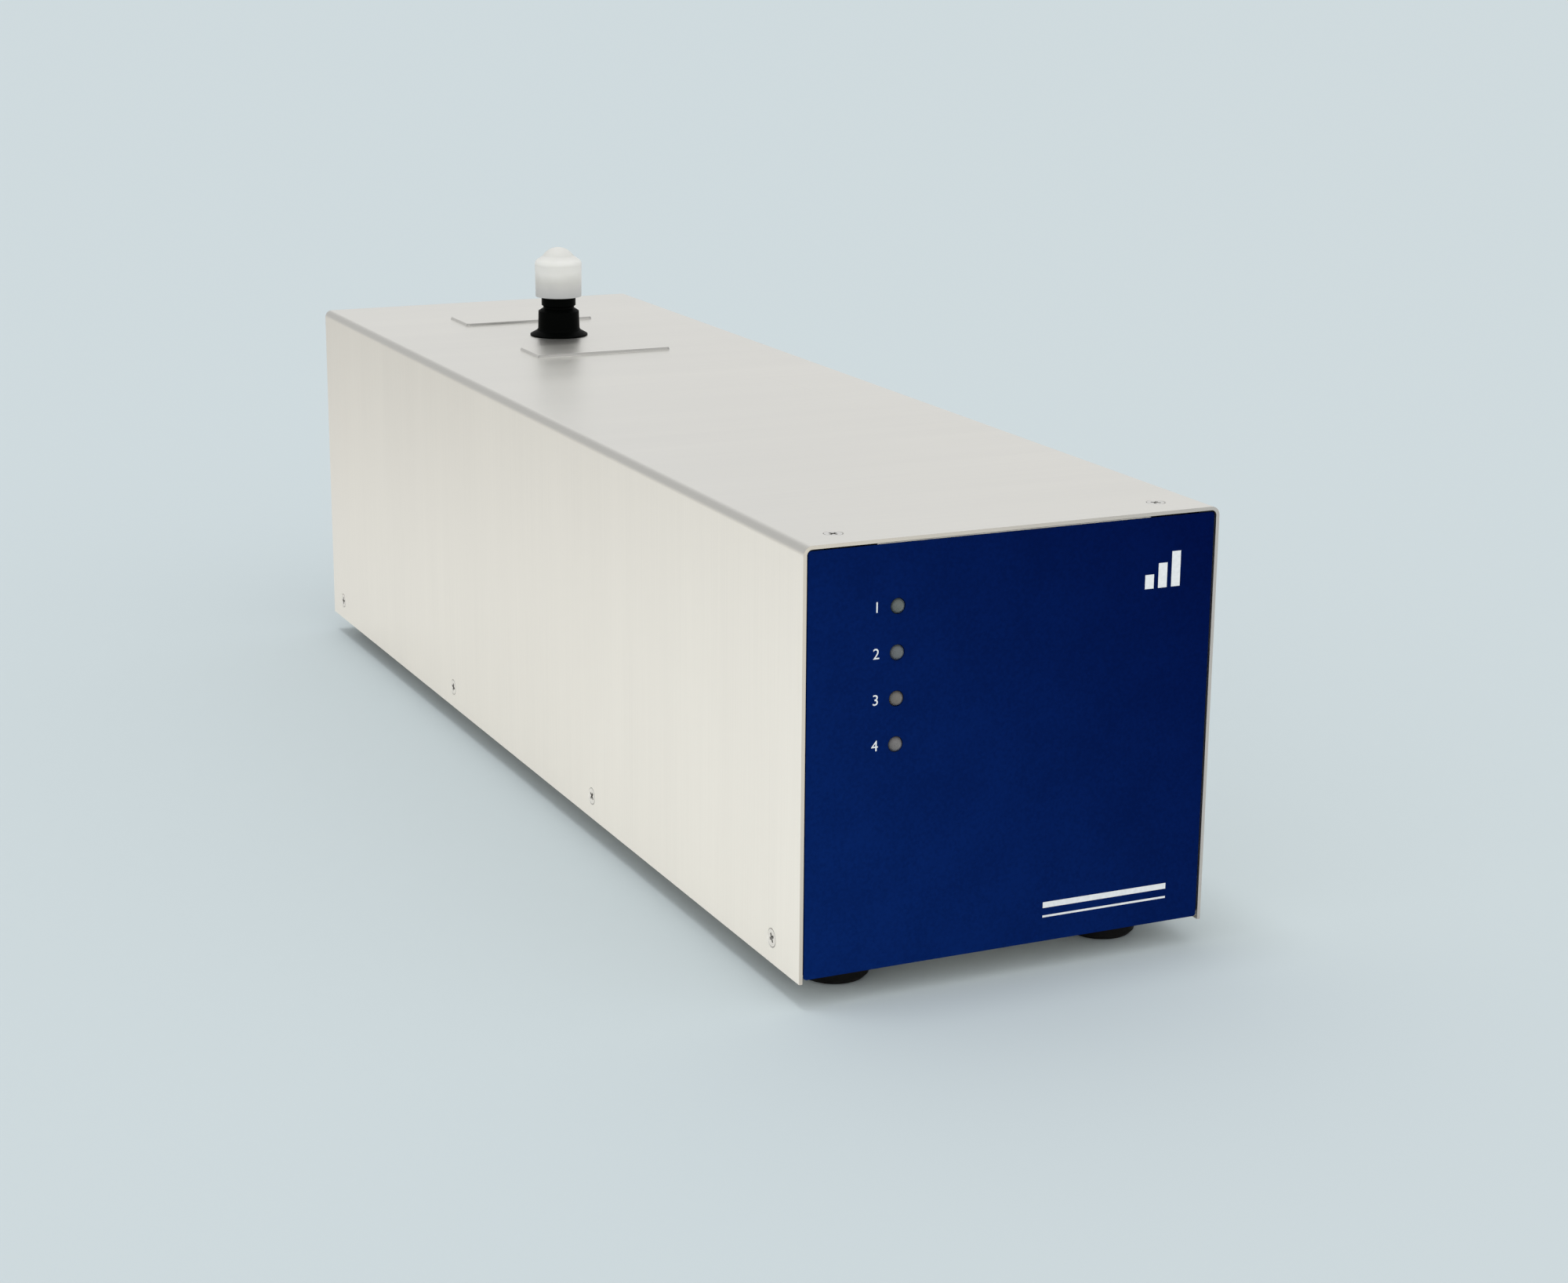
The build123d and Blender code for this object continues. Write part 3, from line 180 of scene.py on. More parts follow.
class Finish:
    """Node material with the few building blocks that the finishes share."""

    def __init__(self, name):
        self.material = bpy.data.materials.new(name)
        self.material.use_nodes = True
        self.tree = self.material.node_tree
        self.shader = self.tree.nodes["Principled BSDF"]
        self.place = self.add("ShaderNodeTexCoord").outputs["Object"]

    def add(self, kind):
        return self.tree.nodes.new(kind)

    def link(self, output, target):
        self.tree.links.new(output, target)

    def set(self, **values):
        """Set the shader's sockets: underscores stand for spaces."""
        for name, value in values.items():
            socket = self.shader.inputs[name.replace("_", " ")]
            socket.default_value = (*value, 1.0) if socket.type == "RGBA" else value

    def noise(self, scale, detail=3.0, stretch=(1.0, 1.0, 1.0)):
        """Noise over the object, with its coordinates stretched per axis."""
        mapping = self.add("ShaderNodeMapping")
        mapping.inputs["Scale"].default_value = stretch
        self.link(self.place, mapping.inputs["Vector"])
        texture = self.add("ShaderNodeTexNoise")
        texture.inputs["Scale"].default_value = scale
        texture.inputs["Detail"].default_value = detail
        self.link(mapping.outputs["Vector"], texture.inputs["Vector"])
        return texture.outputs["Fac"]

    def ramp(self, factor, stops):
        """Colour ramp of (position, colour) stops."""
        node = self.add("ShaderNodeValToRGB")
        for _ in range(len(stops) - 2):
            node.color_ramp.elements.new(0.5)
        for element, (position, colour) in zip(node.color_ramp.elements, stops):
            element.position = position
            element.color = (*colour, 1.0)
        self.link(factor, node.inputs["Fac"])
        return node.outputs["Color"]

    def span(self, value, low, high, start=0.0, end=1.0):
        """Map a value between start and end to low and high."""
        node = self.add("ShaderNodeMapRange")
        for name, number in (("From Min", start), ("From Max", end), ("To Min", low), ("To Max", high)):
            node.inputs[name].default_value = number
        self.link(value, node.inputs["Value"])
        return node.outputs["Result"]

    def mix(self, factor, first, second, mode="MIX"):
        node = self.add("ShaderNodeMix")
        node.data_type = "RGBA"
        node.blend_type = mode
        for socket, value in ((node.inputs[0], factor), (node.inputs[6], first), (node.inputs[7], second)):
            if isinstance(value, bpy.types.NodeSocket):
                self.link(value, socket)
            elif isinstance(value, tuple):
                socket.default_value = (*value, 1.0)
            else:
                socket.default_value = value
        return node.outputs[2]

    def bump(self, height, strength, distance, under=None):
        node = self.add("ShaderNodeBump")
        node.inputs["Strength"].default_value = strength
        node.inputs["Distance"].default_value = distance
        self.link(height, node.inputs["Height"])
        if under:
            self.link(under, node.inputs["Normal"])
        return node.outputs["Normal"]

    def math(self, operation, *values):
        node = self.add("ShaderNodeMath")
        node.operation = operation
        for socket, value in zip(node.inputs, values):
            if isinstance(value, bpy.types.NodeSocket):
                self.link(value, socket)
            else:
                socket.default_value = value
        return node.outputs["Value"]

    def both(self, first, second):
        return self.math("MULTIPLY", first, second)

    def either(self, first, second):
        return self.math("MAXIMUM", first, second)

    def absolute(self, value):
        return self.math("ABSOLUTE", value)

    def split(self, vector, axis):
        """One axis of a vector."""
        node = self.add("ShaderNodeSeparateXYZ")
        self.link(vector, node.inputs["Vector"])
        return node.outputs[axis]

    def colour(self, output):
        self.link(output, self.shader.inputs["Base Color"])

    def roughness(self, output):
        self.link(output, self.shader.inputs["Roughness"])

    def normal(self, output):
        self.link(output, self.shader.inputs["Normal"])


def shade(colour, factor):
    return tuple(min(1.0, channel * factor) for channel in colour)


def brushed_surface(finish, colour, grain):
    """Streaks across the case: (surface colour, streak value, fine streaks)."""
    finish.set(Metallic=1.0)
    fine = finish.noise(1.0, 4.0, (14.0, 1500.0, 14.0))
    broad = finish.noise(1.0, 3.0, (5.0, 70.0, 5.0))
    cloud = finish.noise(9.0, 2.0)
    streaks = finish.mix(0.45, fine, broad)
    mixed = finish.mix(0.3, streaks, cloud)
    low, high = shade(colour, 1 - 0.05 * grain), shade(colour, 1 + 0.03 * grain)
    return finish.ramp(mixed, [(0.3, low), (0.7, high)]), mixed, fine


def finish_brushed(finish, surface, mixed, fine, rough, grain):
    finish.colour(surface)
    finish.roughness(finish.span(mixed, rough - 0.05, rough + 0.05, 0.3, 0.7))
    finish.normal(finish.bump(fine, 0.08 * grain, FINE_RELIEF))
    return finish.material


def cover_steel(colour, rough):
    """Brushed stainless with painted shade on its bends and on the pads' front walls; its cut front edge has
    its own duller tone, with painted shade darker towards the right.
    """
    finish = Finish("brushed_stainless")
    surface, mixed, fine = brushed_surface(finish, colour, 1.0)
    normal = finish.add("ShaderNodeNewGeometry").outputs["Normal"]
    lean = finish.split(normal, "Z")
    place_x, place_y, place_z = (finish.split(finish.place, axis) for axis in "XYZ")
    # Painted shade on the bends, by the lean of the surface
    bend = finish.both(finish.span(lean, 0.0, 1.0, *BEND_START), finish.span(lean, 1.0, 0.0, *BEND_END))
    surface = finish.mix(bend, surface, shade(colour, BEND_PAINTED_SHADE))
    # Painted shade on the front walls of the raised pads
    raised = finish.span(place_z, 0.0, 1.0, *(COVER_TOP + level for level in PAD_LEVEL))
    facing = finish.span(finish.split(normal, "Y"), 1.0, 0.0, *PAD_FACING)
    surface = finish.mix(finish.both(raised, facing), surface, shade(colour, PAD_PAINTED_SHADE))
    # Cut front edge in its own duller tone, darkened towards the right by painted shade
    edge = finish.span(place_y, 1.0, 0.0, cover_low.y + CUT_EDGE / 2, cover_low.y + CUT_EDGE)
    across = finish.span(place_x, 0.0, 1.0, cover_low.x, cover_high.x)
    surface = finish.mix(edge, surface, finish.mix(across, EDGE_LEFT, EDGE_RIGHT_PAINTED_SHADE))
    return finish_brushed(finish, surface, mixed, fine, rough, 1.0)


def pan_steel(colour, rough):
    """Brushed steel of the chassis, with painted shade where its front wall lies in the slots round the
    panel.
    """
    finish = Finish("pan_steel")
    surface, mixed, fine = brushed_surface(finish, colour, 0.8)
    place_x, place_y, place_z = (finish.split(finish.place, axis) for axis in "XYZ")
    reach = finish.absolute(place_x)
    front = finish.span(place_y, 1.0, 0.0, *(PANEL_FACE + depth for depth in WALL_DEPTH))
    beside = finish.span(reach, 0.0, 1.0, *SLOT_REACH)
    notch = finish.both(finish.span(reach, 0.0, 1.0, *NOTCH_REACH),
                        finish.span(place_z, 0.0, 1.0, *NOTCH_LEVEL))
    # Painted shade on the front wall beside the panel and in the notches at its top
    slot_shade_mask = finish.both(front, finish.either(beside, notch))
    surface = finish.mix(slot_shade_mask, surface, SLOT_PAINTED_SHADE)
    return finish_brushed(finish, surface, mixed, fine, rough, 0.8)


def cast_metal(name, colour, rough, scale=900.0):
    """Plated, turned or anodised metal with a faint even tooth."""
    finish = Finish(name)
    finish.set(Metallic=1.0)
    tooth = finish.noise(scale, 3.0)
    cloud = finish.noise(60.0, 3.0)
    finish.colour(finish.ramp(cloud, [(0.3, shade(colour, 0.88)), (0.7, shade(colour, 1.08))]))
    finish.roughness(finish.span(cloud, rough - 0.06, rough + 0.08, 0.3, 0.7))
    finish.normal(finish.bump(tooth, 0.12, FINE_RELIEF))
    return finish.material


def moulded(name, colour, rough, scale=1400.0, bump=0.15, shine=0.5):
    """Moulded plastic or rubber with a fine matt grain."""
    finish = Finish(name)
    finish.set(Specular_IOR_Level=shine)
    grain = finish.noise(scale, 4.0)
    cloud = finish.noise(45.0, 2.0)
    finish.colour(finish.ramp(cloud, [(0.3, shade(colour, 0.86)), (0.7, shade(colour, 1.12))]))
    finish.roughness(finish.span(grain, rough - 0.08, rough + 0.08, 0.3, 0.7))
    finish.normal(finish.bump(grain, bump, GRAIN_RELIEF))
    return finish.material


def powder_coat():
    """Deep blue coat with a fine grain, and painted light that makes it a little lighter towards the lower
    left.
    """
    finish = Finish("blue_powder_coat")
    finish.set(Specular_IOR_Level=0.004)
    # Painted light: the blue grades from shaded at the upper right to lit at the lower left
    across = finish.span(finish.split(finish.place, "X"), 0.0, 0.55, panel_high.x, panel_low.x)
    down = finish.span(finish.split(finish.place, "Z"), 0.0, 0.45, panel_high.z, panel_low.z)
    tone = finish.ramp(finish.math("ADD", across, down), [(0.0, BLUE_PAINTED_SHADE), (1.0, BLUE_PAINTED_LIGHT)])
    grain = finish.noise(1100.0, 5.0)
    peel = finish.noise(420.0, 2.0)
    cloud = finish.noise(60.0, 3.0)
    speckle = finish.ramp(finish.mix(0.4, grain, cloud),
                          [(0.38, (0.76, 0.78, 0.80)), (0.62, (1.0, 1.0, 1.0))])
    finish.colour(finish.mix(1.0, tone, speckle, "MULTIPLY"))
    finish.roughness(finish.span(grain, 0.42, 0.58, 0.3, 0.7))
    peel_normal = finish.bump(peel, 0.25, PEEL_RELIEF)
    finish.normal(finish.bump(grain, 0.25, GRAIN_RELIEF, peel_normal))
    return finish.material


def frosted_cap():
    """Translucent moulding with painted shade: greyer towards its foot over the hollow skirt, where the dark
    fitting inside would show through, and a little darker on its crown.
    """
    finish = Finish("frosted_cap")
    finish.set(Subsurface_Weight=0.35, Subsurface_Radius=(0.004, 0.004, 0.0036), Subsurface_Scale=1.0,
               Transmission_Weight=0.12, IOR=1.45)
    rise = finish.span(finish.split(finish.place, "Z"), 0.0, 1.0, cap_low.z, cap_high.z)
    cloud = finish.noise(160.0, 2.0)
    wavy = finish.mix(0.12, rise, cloud)
    # Painted shade by height: grey low on the skirt, darker at the crown
    finish.colour(finish.ramp(wavy, CAP_PAINTED_TONES))
    finish.roughness(finish.span(cloud, 0.36, 0.50, 0.3, 0.7))
    finish.normal(finish.bump(finish.noise(900.0, 3.0), 0.08, GRAIN_RELIEF))
    return finish.material


def lamp_lens(name, node, colour):
    """Unlit diffused lens, with painted shade darker towards its rim."""
    finish = Finish(name)
    finish.set(Subsurface_Weight=0.2, Subsurface_Radius=(0.001, 0.001, 0.001), Coat_Weight=0.3, IOR=1.5)
    low, high = (Vector(corner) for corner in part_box(node))
    flat = finish.add("ShaderNodeMapping")
    flat.inputs["Scale"].default_value = (1.0, 0.0, 1.0)
    finish.link(finish.place, flat.inputs["Vector"])
    reach = finish.add("ShaderNodeVectorMath")
    reach.operation = "DISTANCE"
    reach.inputs[1].default_value = ((low.x + high.x) / 2, 0.0, (low.z + high.z) / 2)
    finish.link(flat.outputs["Vector"], reach.inputs[0])
    radius = (high.x - low.x) / 2
    # Painted shade: darker from the middle of the lens out to its rim
    outer = finish.span(reach.outputs["Value"], 0.0, 1.0, LENS_MIDDLE * radius, radius)
    rim = finish.mix(outer, colour, shade(colour, LENS_RIM_PAINTED_SHADE))
    speck = finish.noise(1200.0, 2.0)
    finish.colour(finish.mix(finish.span(speck, 0.0, 0.25, 0.3, 0.7), rim, shade(colour, 1.3)))
    finish.roughness(finish.span(speck, 0.24, 0.36, 0.3, 0.7))
    finish.normal(finish.bump(speck, 0.05, FINE_RELIEF))
    return finish.material


def stripes(finish, value, middle, pitch, half):
    """Mask of stripes along a coordinate, one of them about the given middle."""
    shifted = finish.math("SUBTRACT", value, middle - pitch / 2)
    folded = finish.math("PINGPONG", shifted, pitch / 2)
    return finish.span(folded, 0.0, 1.0, pitch / 2 - half - MASK_EDGE, pitch / 2 - half)


def within(finish, value, low, high):
    """Mask of a stretch of a coordinate."""
    middle, half = (low + high) / 2, (high - low) / 2
    reach = finish.absolute(finish.math("SUBTRACT", value, middle))
    return finish.span(reach, 1.0, 0.0, half, half + MASK_EDGE)


def contact_metal(finish, mask, base, contact):
    """Base surface with bare metal where the mask is set."""
    cloud = finish.noise(300.0, 2.0)
    tinted = finish.ramp(cloud, [(0.3, shade(base, 0.86)), (0.7, shade(base, 1.12))])
    finish.colour(finish.mix(mask, tinted, contact))
    finish.roughness(finish.span(cloud, 0.30, 0.44, 0.3, 0.7))
    finish.normal(finish.bump(finish.noise(1300.0), 0.12, FINE_RELIEF))


def network_shell():
    """Nickel shell round a dark moulded mouth with eight gilt contacts on its upper wall."""
    finish = Finish("network_socket")
    place_x, place_y, place_z = (finish.split(finish.place, axis) for axis in "XYZ")
    low, high = (Vector(corner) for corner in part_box("ethernet_jack"))
    middle = (low.x + high.x) / 2
    shallow, deep = MOUTH_DEPTH
    inside = finish.both(finish.span(place_y, 1.0, 0.0, high.y - deep, high.y - shallow),
                         within(finish, place_x, middle - MOUTH_HALF, middle + MOUTH_HALF))
    wires = finish.both(stripes(finish, place_x, middle + WIRE_PITCH / 2, WIRE_PITCH, WIRE_HALF),
                        within(finish, place_x, middle - WIRE_ROW_HALF, middle + WIRE_ROW_HALF))
    upper = finish.span(place_z, 0.0, 1.0, *(low.z + level for level in WIRE_LEVEL))
    wires = finish.both(finish.both(wires, upper), inside)
    finish.link(finish.either(finish.span(inside, 1.0, 0.0), wires), finish.shader.inputs["Metallic"])
    mouth = finish.mix(inside, SHELL_METAL, MOUTH_BLACK)
    cloud = finish.noise(300.0, 2.0)
    finish.colour(finish.mix(wires, mouth, GILT))
    finish.roughness(finish.span(cloud, 0.22, 0.36, 0.3, 0.7))
    finish.normal(finish.bump(finish.noise(1300.0), 0.10, FINE_RELIEF))
    return finish.material


def pinned_socket(name, node, recess, pins):
    """Black moulding with bare metal pins: pins gives their mask from the finish and its x and z."""
    finish = Finish(name)
    place_x, place_y, place_z = (finish.split(finish.place, axis) for axis in "XYZ")
    high = Vector(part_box(node)[1])
    sunk = finish.span(place_y, 1.0, 0.0, high.y - recess - RECESS_EDGE, high.y - recess)
    mask = finish.both(sunk, pins(finish, place_x, place_z))
    finish.link(mask, finish.shader.inputs["Metallic"])
    contact_metal(finish, mask, SOCKET_BLACK, PIN_METAL)
    return finish.material


def terminal_pins(finish, place_x, place_z):
    """Row of eight square pins."""
    low, high = (Vector(corner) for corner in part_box("terminal_header"))
    middle = (low.x + high.x) / 2
    row = within(finish, place_z, *(low.z + level for level in TERMINAL_LEVEL))
    pins = stripes(finish, place_x, middle + TERMINAL_PITCH / 2, TERMINAL_PITCH, TERMINAL_HALF)
    length = within(finish, place_x, middle - TERMINAL_ROW_HALF, middle + TERMINAL_ROW_HALF)
    return finish.both(row, finish.both(pins, length))


def power_pin(finish, place_x, place_z):
    """Round centre pin."""
    low, high = (Vector(corner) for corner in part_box("power_jack"))
    across = finish.math("SUBTRACT", place_x, (low.x + high.x) / 2)
    up = finish.math("SUBTRACT", place_z, low.z + POWER_AXIS)
    squares = [finish.both(offset, offset) for offset in (across, up)]
    reach = finish.math("SQRT", finish.math("ADD", *squares))
    return finish.span(reach, 1.0, 0.0, *POWER_PIN)


def circuit_board():
    """Green solder mask with tracks that show through as straight paler bands."""
    finish = Finish("circuit_board")
    finish.set(Coat_Weight=0.2)
    tracks = finish.add("ShaderNodeTexBrick")
    tracks.inputs["Scale"].default_value = 160.0
    tracks.inputs["Mortar Size"].default_value = 0.012
    finish.link(finish.place, tracks.inputs["Vector"])
    cloud = finish.noise(70.0, 3.0)
    base = finish.ramp(cloud, [(0.3, (0.008, 0.10, 0.035)), (0.7, (0.014, 0.16, 0.055))])
    finish.colour(finish.mix(tracks.outputs["Fac"], base, (0.03, 0.26, 0.09)))
    finish.roughness(finish.span(cloud, 0.30, 0.45, 0.3, 0.7))
    finish.normal(finish.bump(tracks.outputs["Fac"], 0.2, FINE_RELIEF))
    return finish.material


def ink():
    """White screen-printed ink with a slightly uneven film."""
    finish = Finish("white_ink")
    film = finish.noise(900.0, 3.0)
    finish.colour(finish.ramp(film, [(0.3, (0.80, 0.82, 0.83)), (0.7, (0.90, 0.91, 0.92))]))
    finish.roughness(finish.span(film, 0.42, 0.56, 0.3, 0.7))
    finish.normal(finish.bump(film, 0.15, FINE_RELIEF))
    return finish.material


STAINLESS = cover_steel((0.84, 0.832, 0.795), 0.36)
PAN = pan_steel((0.74, 0.73, 0.70), 0.42)
SCREW = cast_metal("screw_steel", (0.76, 0.755, 0.735), 0.26)
# Painted shade for the screws' bevelled rims and cross recesses
SCREW_PAINTED_SHADE = cast_metal("screw_painted_shade", (0.30, 0.295, 0.28), 0.5)
ZINC = cast_metal("zinc_plate", (0.62, 0.62, 0.61), 0.38)
BRASS = cast_metal("turned_brass", (0.72, 0.53, 0.24), 0.30)
ANODISED = cast_metal("clear_anodised", (0.60, 0.61, 0.62), 0.45, 1500.0)
BLACK_ANODISED = cast_metal("black_anodised", (0.03, 0.03, 0.032), 0.48, 1500.0)
SHIELD = cast_metal("nickel_shield", SHELL_METAL, 0.22)
POLISHED = cast_metal("polished_mirror", (0.88, 0.88, 0.89), 0.08)
BLUE = powder_coat()
BLACK = moulded("black_moulding", (0.016, 0.016, 0.017), 0.46)
INLET_BLACK = moulded("inlet_black", (0.0010, 0.0014, 0.0012), 0.42, 1700.0, 0.08, 0.015)
RUBBER = moulded("foot_rubber", (0.006, 0.006, 0.006), 0.72, 800.0, 0.3, 0.1)
WHITE = moulded("white_moulding", (0.72, 0.72, 0.69), 0.42)
HOSE = moulded("silicone_hose", (0.55, 0.55, 0.52), 0.38, 500.0, 0.08)
LEAD = moulded("grey_lead", (0.20, 0.20, 0.22), 0.5, 900.0)
CAP = frosted_cap()
BOARD = circuit_board()
NETWORK = network_shell()
TERMINALS = pinned_socket("terminal_header", "terminal_header", TERMINAL_RECESS, terminal_pins)
POWER = pinned_socket("power_socket", "power_jack", POWER_RECESS, power_pin)
INK = ink()

NODE_MATERIALS = {
    STAINLESS: ["top_cover"],
    PAN: ["chassis"],
    BLUE: ["front_panel"],
    RUBBER: [f"rubber_foot_{i}" for i in range(1, 5)],
    INLET_BLACK: ["inlet_fitting", "inlet_locknut"],
    CAP: ["inlet_cap"],
    SCREW: ["foot_screws", "pan_screws"],
    ZINC: ["blower_bracket", "clinch_nuts", "foot_nuts", "impeller_shaft", "motor_can", "motor_rotor",
           "motor_stator", "sensor_bracket"],
    BRASS: ["board_standoffs", "exhaust_fitting", "exhaust_locknut", "laser_module", "motor_bushes",
            "sensor_nozzles"],
    ANODISED: ["sensor_block"],
    BLACK_ANODISED: ["beam_dump", "heat_sink", "laser_heat_sink"],
    SHIELD: ["photodetector"],
    NETWORK: ["ethernet_jack"],
    TERMINALS: ["terminal_header"],
    POWER: ["power_jack"],
    POLISHED: ["mirror_mount"],
    BLACK: ["blower_cover", "blower_housing", "capacitors", "chips", "pin_headers"],
    WHITE: ["exhaust_filter", "impeller"],
    HOSE: ["delivery_hose", "exhaust_hose", "inlet_tube", "suction_hose"],
    LEAD: ["internal_leads", "lamp_ribbon"],
    BOARD: ["detector_board", "lamp_board", "main_board", "rear_board"],
}


def paint_node(name, material):
    piece = bpy.data.objects[name]
    piece.data.materials.clear()
    piece.data.materials.append(material)


for finish_material, names in NODE_MATERIALS.items():
    for name in names:
        paint_node(name, finish_material)
for number, lamp_colour in enumerate(LAMP_COLOURS, start=1):
    lamp = f"indicator_lamp_{number}"
    paint_node(lamp, lamp_lens(f"lamp_lens_{number}", lamp, lamp_colour))


# Added pieces

def mesh_piece(name, builder, material):
    """New object from a filled bmesh."""
    bmesh.ops.recalc_face_normals(builder, faces=builder.faces)
    mesh = bpy.data.meshes.new(name)
    builder.to_mesh(mesh)
    builder.free()
    piece = bpy.data.objects.new(name, mesh)
    bpy.context.scene.collection.objects.link(piece)
    mesh.materials.append(material)
    return piece


def ring_points(radius, count=40):
    turns = [math.tau * i / count for i in range(count)]
    return [(radius * math.cos(turn), radius * math.sin(turn)) for turn in turns]


def cross_points(reach, half):
    """Outline of a cross with arms of the given reach and half width."""
    corner = [(reach, -half), (reach, half), (half, half)]
    points = []
    for quarter in range(4):
        turn = quarter * math.pi / 2
        for x, y in corner:
            points.append((x * math.cos(turn) - y * math.sin(turn), x * math.sin(turn) + y * math.cos(turn)))
    return points


def add_loop(builder, place, points, level):
    return [builder.verts.new(place @ Vector((x, y, level))) for x, y in points]


def join_loops(builder, first, second, finish_slot=0):
    """Quads between two loops of the same count, in one of the piece's materials."""
    for i in range(len(first)):
        j = (i + 1) % len(first)
        face = builder.faces.new((first[i], first[j], second[j], second[i]))
        face.material_index = finish_slot


def loop_edges(builder, loop):
    return [builder.edges.get((loop[i], loop[(i + 1) % len(loop)])) or
            builder.edges.new((loop[i], loop[(i + 1) % len(loop)])) for i in range(len(loop))]


def cross_head_screw(builder, place):
    """Flat head with a tapered cross recess, its face just under the sheet, and a plain shank; its bevelled
    rim and its recess carry painted shade.
    """
    head = [(SCREW_HEAD - HEAD_SLOPE, -HEAD_SLOPE), (SCREW_HEAD - HEAD_BEVEL, HEAD_LEVEL)]
    shank = [(SCREW_THROAT, -COVER_SHEET), (SCREW_SHANK, -COVER_SHEET), (SCREW_SHANK, -SCREW_LENGTH)]
    loops = [add_loop(builder, place, ring_points(radius), level) for radius, level in head + shank]
    rim, face, throat, shank_top, shank_end = loops
    # Painted shade on the bevelled ring round the head
    join_loops(builder, face, rim, PAINTED_SHADE_SLOT)
    for first, second in ((rim, throat), (throat, shank_top), (shank_top, shank_end)):
        join_loops(builder, first, second)
    builder.faces.new(shank_end)
    mouth = add_loop(builder, place, cross_points(*RECESS_MOUTH), HEAD_LEVEL)
    depth = add_loop(builder, place, cross_points(*RECESS_END), -RECESS_DEPTH)
    # Painted shade on the recess walls and floor
    join_loops(builder, mouth, depth, PAINTED_SHADE_SLOT)
    builder.faces.new(depth).material_index = PAINTED_SHADE_SLOT
    edges = loop_edges(builder, face) + loop_edges(builder, mouth)
    bmesh.ops.triangle_fill(builder, use_beauty=True, edges=edges)


def head_places(node, out):
    """Middles of the node's screw heads: its loose solids, each taken to its outermost face."""
    mesh = bpy.data.objects[node].data
    builder = bmesh.new()
    builder.from_mesh(mesh)
    bmesh.ops.remove_doubles(builder, verts=builder.verts, dist=1e-6)
    left = set(builder.verts)
    places = []
    while left:
        found = [left.pop()]
        for vert in found:
            for edge in vert.link_edges:
                other = edge.other_vert(vert)
                if other in left:
                    left.remove(other)
                    found.append(other)
        low = Vector([min(vert.co[axis] for vert in found) for axis in range(3)])
        high = Vector([max(vert.co[axis] for vert in found) for axis in range(3)])
        middle = (low + high) / 2
        direction = out(middle)
        axis = max(range(3), key=lambda a: abs(direction[a]))
        middle[axis] = (high if direction[axis] > 0 else low)[axis]
        places.append((middle, direction))
    builder.free()
    return sorted(places, key=lambda place: tuple(place[0]))


def add_screws(name, node, out):
    """Detailed screws in place of a node's plain ones, each cross turned its own way."""
    builder = bmesh.new()
    for number, (middle, direction) in enumerate(head_places(node, out)):
        turn = Matrix.Rotation(FIRST_TURN + TURN_STEP * number, 4, "Z")
        place = Matrix.Translation(middle) @ direction.to_track_quat("Z", "Y").to_matrix().to_4x4() @ turn
        cross_head_screw(builder, place)
    screws = mesh_piece(name, builder, SCREW)
    # Second material: painted shade on the rims and recesses
    screws.data.materials.append(SCREW_PAINTED_SHADE)
    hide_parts(node)
    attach(screws, "case")


def side_out(middle):
    return Vector((math.copysign(1.0, middle.x), 0.0, 0.0))


def top_out(middle):
    return Vector((0.0, 0.0, 1.0))


add_screws("side_screw_heads", "cover_side_screws", side_out)
add_screws("top_screw_heads", "cover_top_screws", top_out)


# Printed marks

lamp_boxes = [[Vector(corner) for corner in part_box(f"indicator_lamp_{i}")] for i in range(1, 5)]


def ink_piece(name, builder):
    piece = mesh_piece(name, builder, INK)
    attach(piece, "case")


def panel_point(x, z, lift=INK_LIFT):
    return Vector((x, PANEL_FACE - lift, z))


def bar(builder, left, low, width, height):
    """Thin printed bar on the panel."""
    corners = [(left, low), (left + width, low), (left + width, low + height), (left, low + height)]
    back = [builder.verts.new(panel_point(x, z, 0.0)) for x, z in corners]
    face = [builder.verts.new(panel_point(x, z)) for x, z in corners]
    join_loops(builder, back, face)
    builder.faces.new(face)


def add_numerals():
    """Plain numbers left of the lamps."""
    for number, (low, high) in enumerate(lamp_boxes, start=1):
        data = bpy.data.curves.new(f"numeral_{number}", "FONT")
        data.body = str(number)
        data.size = NUMERAL_SIZE
        data.align_x = "RIGHT"
        data.align_y = "CENTER"
        data.extrude = INK_LIFT / 2
        data.resolution_u = 4
        text = bpy.data.objects.new(f"numeral_{number}", data)
        text.rotation_euler = (math.pi / 2, 0.0, 0.0)
        text.location = panel_point(low.x - NUMERAL_GAP, (low.z + high.z) / 2, INK_LIFT / 2)
        bpy.context.scene.collection.objects.link(text)
        data.materials.append(INK)
        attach(text, "case")


def add_pinstripes():
    """Thick and thin line at the lower right, and three graded bars at the upper right."""
    builder = bmesh.new()
    left = panel_high.x - STRIPE_INSET - STRIPE_WIDTH
    for low, height in STRIPES:
        bar(builder, left, panel_low.z + low, STRIPE_WIDTH, height)
    ink_piece("pinstripes", builder)
    builder = bmesh.new()
    for i, height in enumerate(BAR_HEIGHTS):
        bar(builder, panel_high.x - BAR_INSET + BAR_PITCH * i, panel_high.z - BAR_DROP, BAR_WIDTH, height)
    ink_piece("graded_bars", builder)


add_numerals()
add_pinstripes()


# Studio

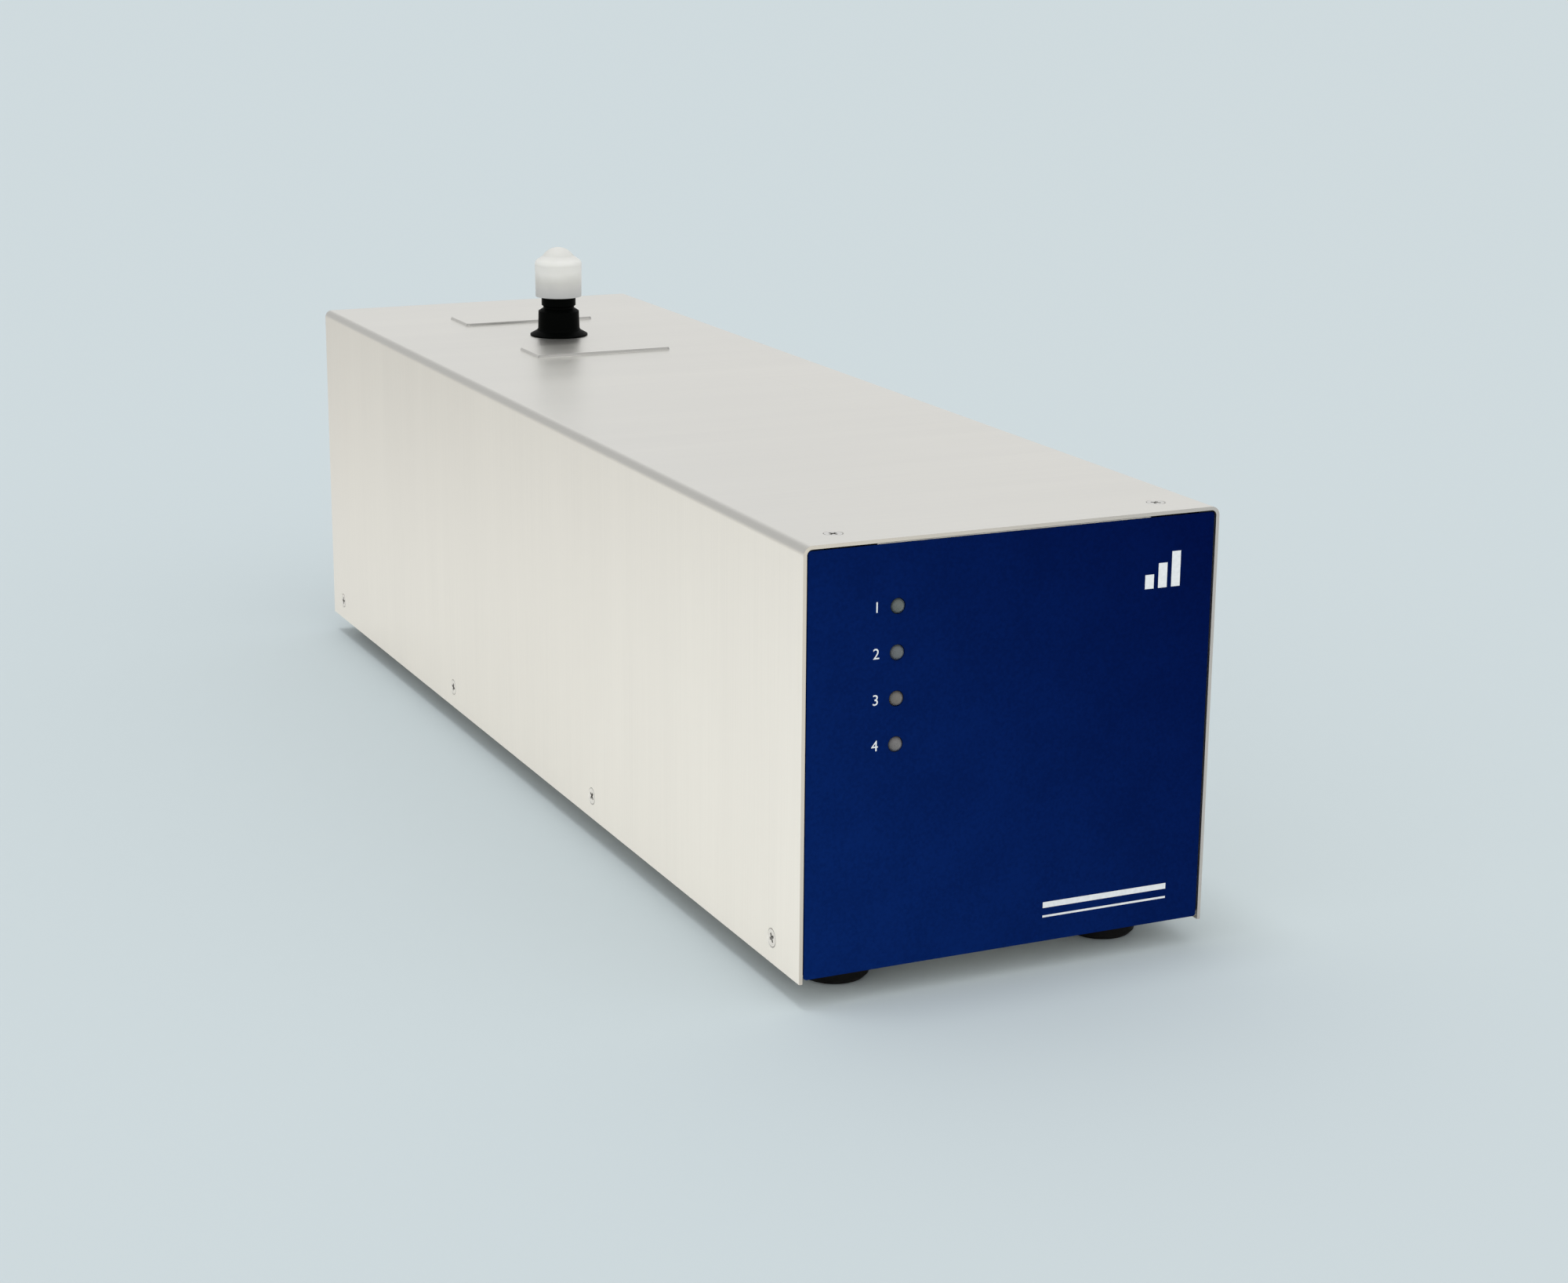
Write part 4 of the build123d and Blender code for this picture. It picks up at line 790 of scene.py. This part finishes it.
def make_camera():
    """Camera of the photographed view: right, up and back axes from azimuth, elevation and roll."""
    azimuth, elevation, roll = CAMERA_AZIMUTH, CAMERA_ELEVATION, CAMERA_ROLL
    back = Vector((math.sin(azimuth) * math.cos(elevation), -math.cos(azimuth) * math.cos(elevation),
                   math.sin(elevation)))
    right = Vector((math.cos(azimuth), math.sin(azimuth), 0.0))
    up = back.cross(right)
    rolled_right = math.cos(roll) * right + math.sin(roll) * up
    rolled_up = math.cos(roll) * up - math.sin(roll) * right
    turn = Matrix([[axis[row] for axis in (rolled_right, rolled_up, back)] for row in range(3)])
    data = bpy.data.cameras.new("camera")
    data.lens = CAMERA_LENS
    data.sensor_width = SENSOR_WIDTH
    data.sensor_fit = "HORIZONTAL"
    camera = bpy.data.objects.new("camera", data)
    camera.matrix_world = Matrix.Translation(CAMERA_PLACE) @ turn.to_4x4()
    bpy.context.scene.collection.objects.link(camera)
    bpy.context.scene.camera = camera


def make_floor():
    """Wide pale floor that keeps the object's shadow; reflections see it warmer than the camera does."""
    builder = bmesh.new()
    bmesh.ops.create_grid(builder, x_segments=1, y_segments=1, size=FLOOR_SIZE)
    finish = Finish("floor")
    finish.set(Roughness=1.0, Specular_IOR_Level=0.0)
    path = finish.add("ShaderNodeLightPath")
    away = finish.span(finish.split(finish.place, "Y"), 0.0, 1.0, *FLOOR_SPAN)
    reflected = finish.mix(away, FLOOR_NEAR, FLOOR_FAR)
    finish.colour(finish.mix(path.outputs["Is Glossy Ray"], FLOOR_SEEN, reflected))
    floor = mesh_piece("floor", builder, finish.material)


def make_world():
    """Studio dome, brighter in front of the object and darker in a stretch low behind it to the left.

    Above the horizon the camera sees a backdrop of the floor's colour.
    """
    world = bpy.data.worlds.new("studio")
    bpy.context.scene.world = world
    world.use_nodes = True
    tree = world.node_tree
    background = tree.nodes["Background"]
    place = tree.nodes.new("ShaderNodeTexCoord").outputs["Generated"]

    def towards(direction, low, high, start, end):
        """Value that eases from low to high as a ray turns towards the direction."""
        near = tree.nodes.new("ShaderNodeVectorMath")
        near.operation = "DOT_PRODUCT"
        near.inputs[1].default_value = direction.normalized()
        tree.links.new(place, near.inputs[0])
        ease = tree.nodes.new("ShaderNodeMapRange")
        ease.interpolation_type = "SMOOTHSTEP"
        for name, number in (("From Min", start), ("From Max", end), ("To Min", low), ("To Max", high)):
            ease.inputs[name].default_value = number
        tree.links.new(near.outputs["Value"], ease.inputs["Value"])
        return ease.outputs["Result"]

    light = tree.nodes.new("ShaderNodeMath")
    light.operation = "MULTIPLY"
    dark = towards(DARK_TOWARDS, WORLD_LIGHT, WORLD_LIGHT * DARK_SHARE, *DARK_EDGE)
    tree.links.new(dark, light.inputs[0])
    tree.links.new(towards(FRONT_TOWARDS, 1.0, FRONT_LIGHT, *FRONT_EDGE), light.inputs[1])
    tree.links.new(light.outputs["Value"], background.inputs["Strength"])
    background.inputs["Color"].default_value = (*WORLD_COLOUR, 1.0)
    seen = tree.nodes.new("ShaderNodeBackground")
    seen.inputs["Color"].default_value = (*BACKDROP_SEEN, 1.0)
    choice = tree.nodes.new("ShaderNodeMixShader")
    tree.links.new(tree.nodes.new("ShaderNodeLightPath").outputs["Is Camera Ray"], choice.inputs["Fac"])
    tree.links.new(background.outputs["Background"], choice.inputs[1])
    tree.links.new(seen.outputs["Background"], choice.inputs[2])
    tree.links.new(choice.outputs["Shader"], tree.nodes["World Output"].inputs["Surface"])


def make_sun():
    """Soft sun from nearly overhead, a little to the left, kept out of reflections."""
    data = bpy.data.lights.new("sun", "SUN")
    data.energy = SUN_STRENGTH
    data.angle = SUN_SPREAD
    sun = bpy.data.objects.new("sun", data)
    sun.rotation_euler = SUN_TOWARDS.to_track_quat("Z", "Y").to_euler()
    sun.visible_glossy = False
    bpy.context.scene.collection.objects.link(sun)


make_camera()
make_floor()
make_world()
make_sun()

bpy.context.scene.view_settings.view_transform = "Standard"
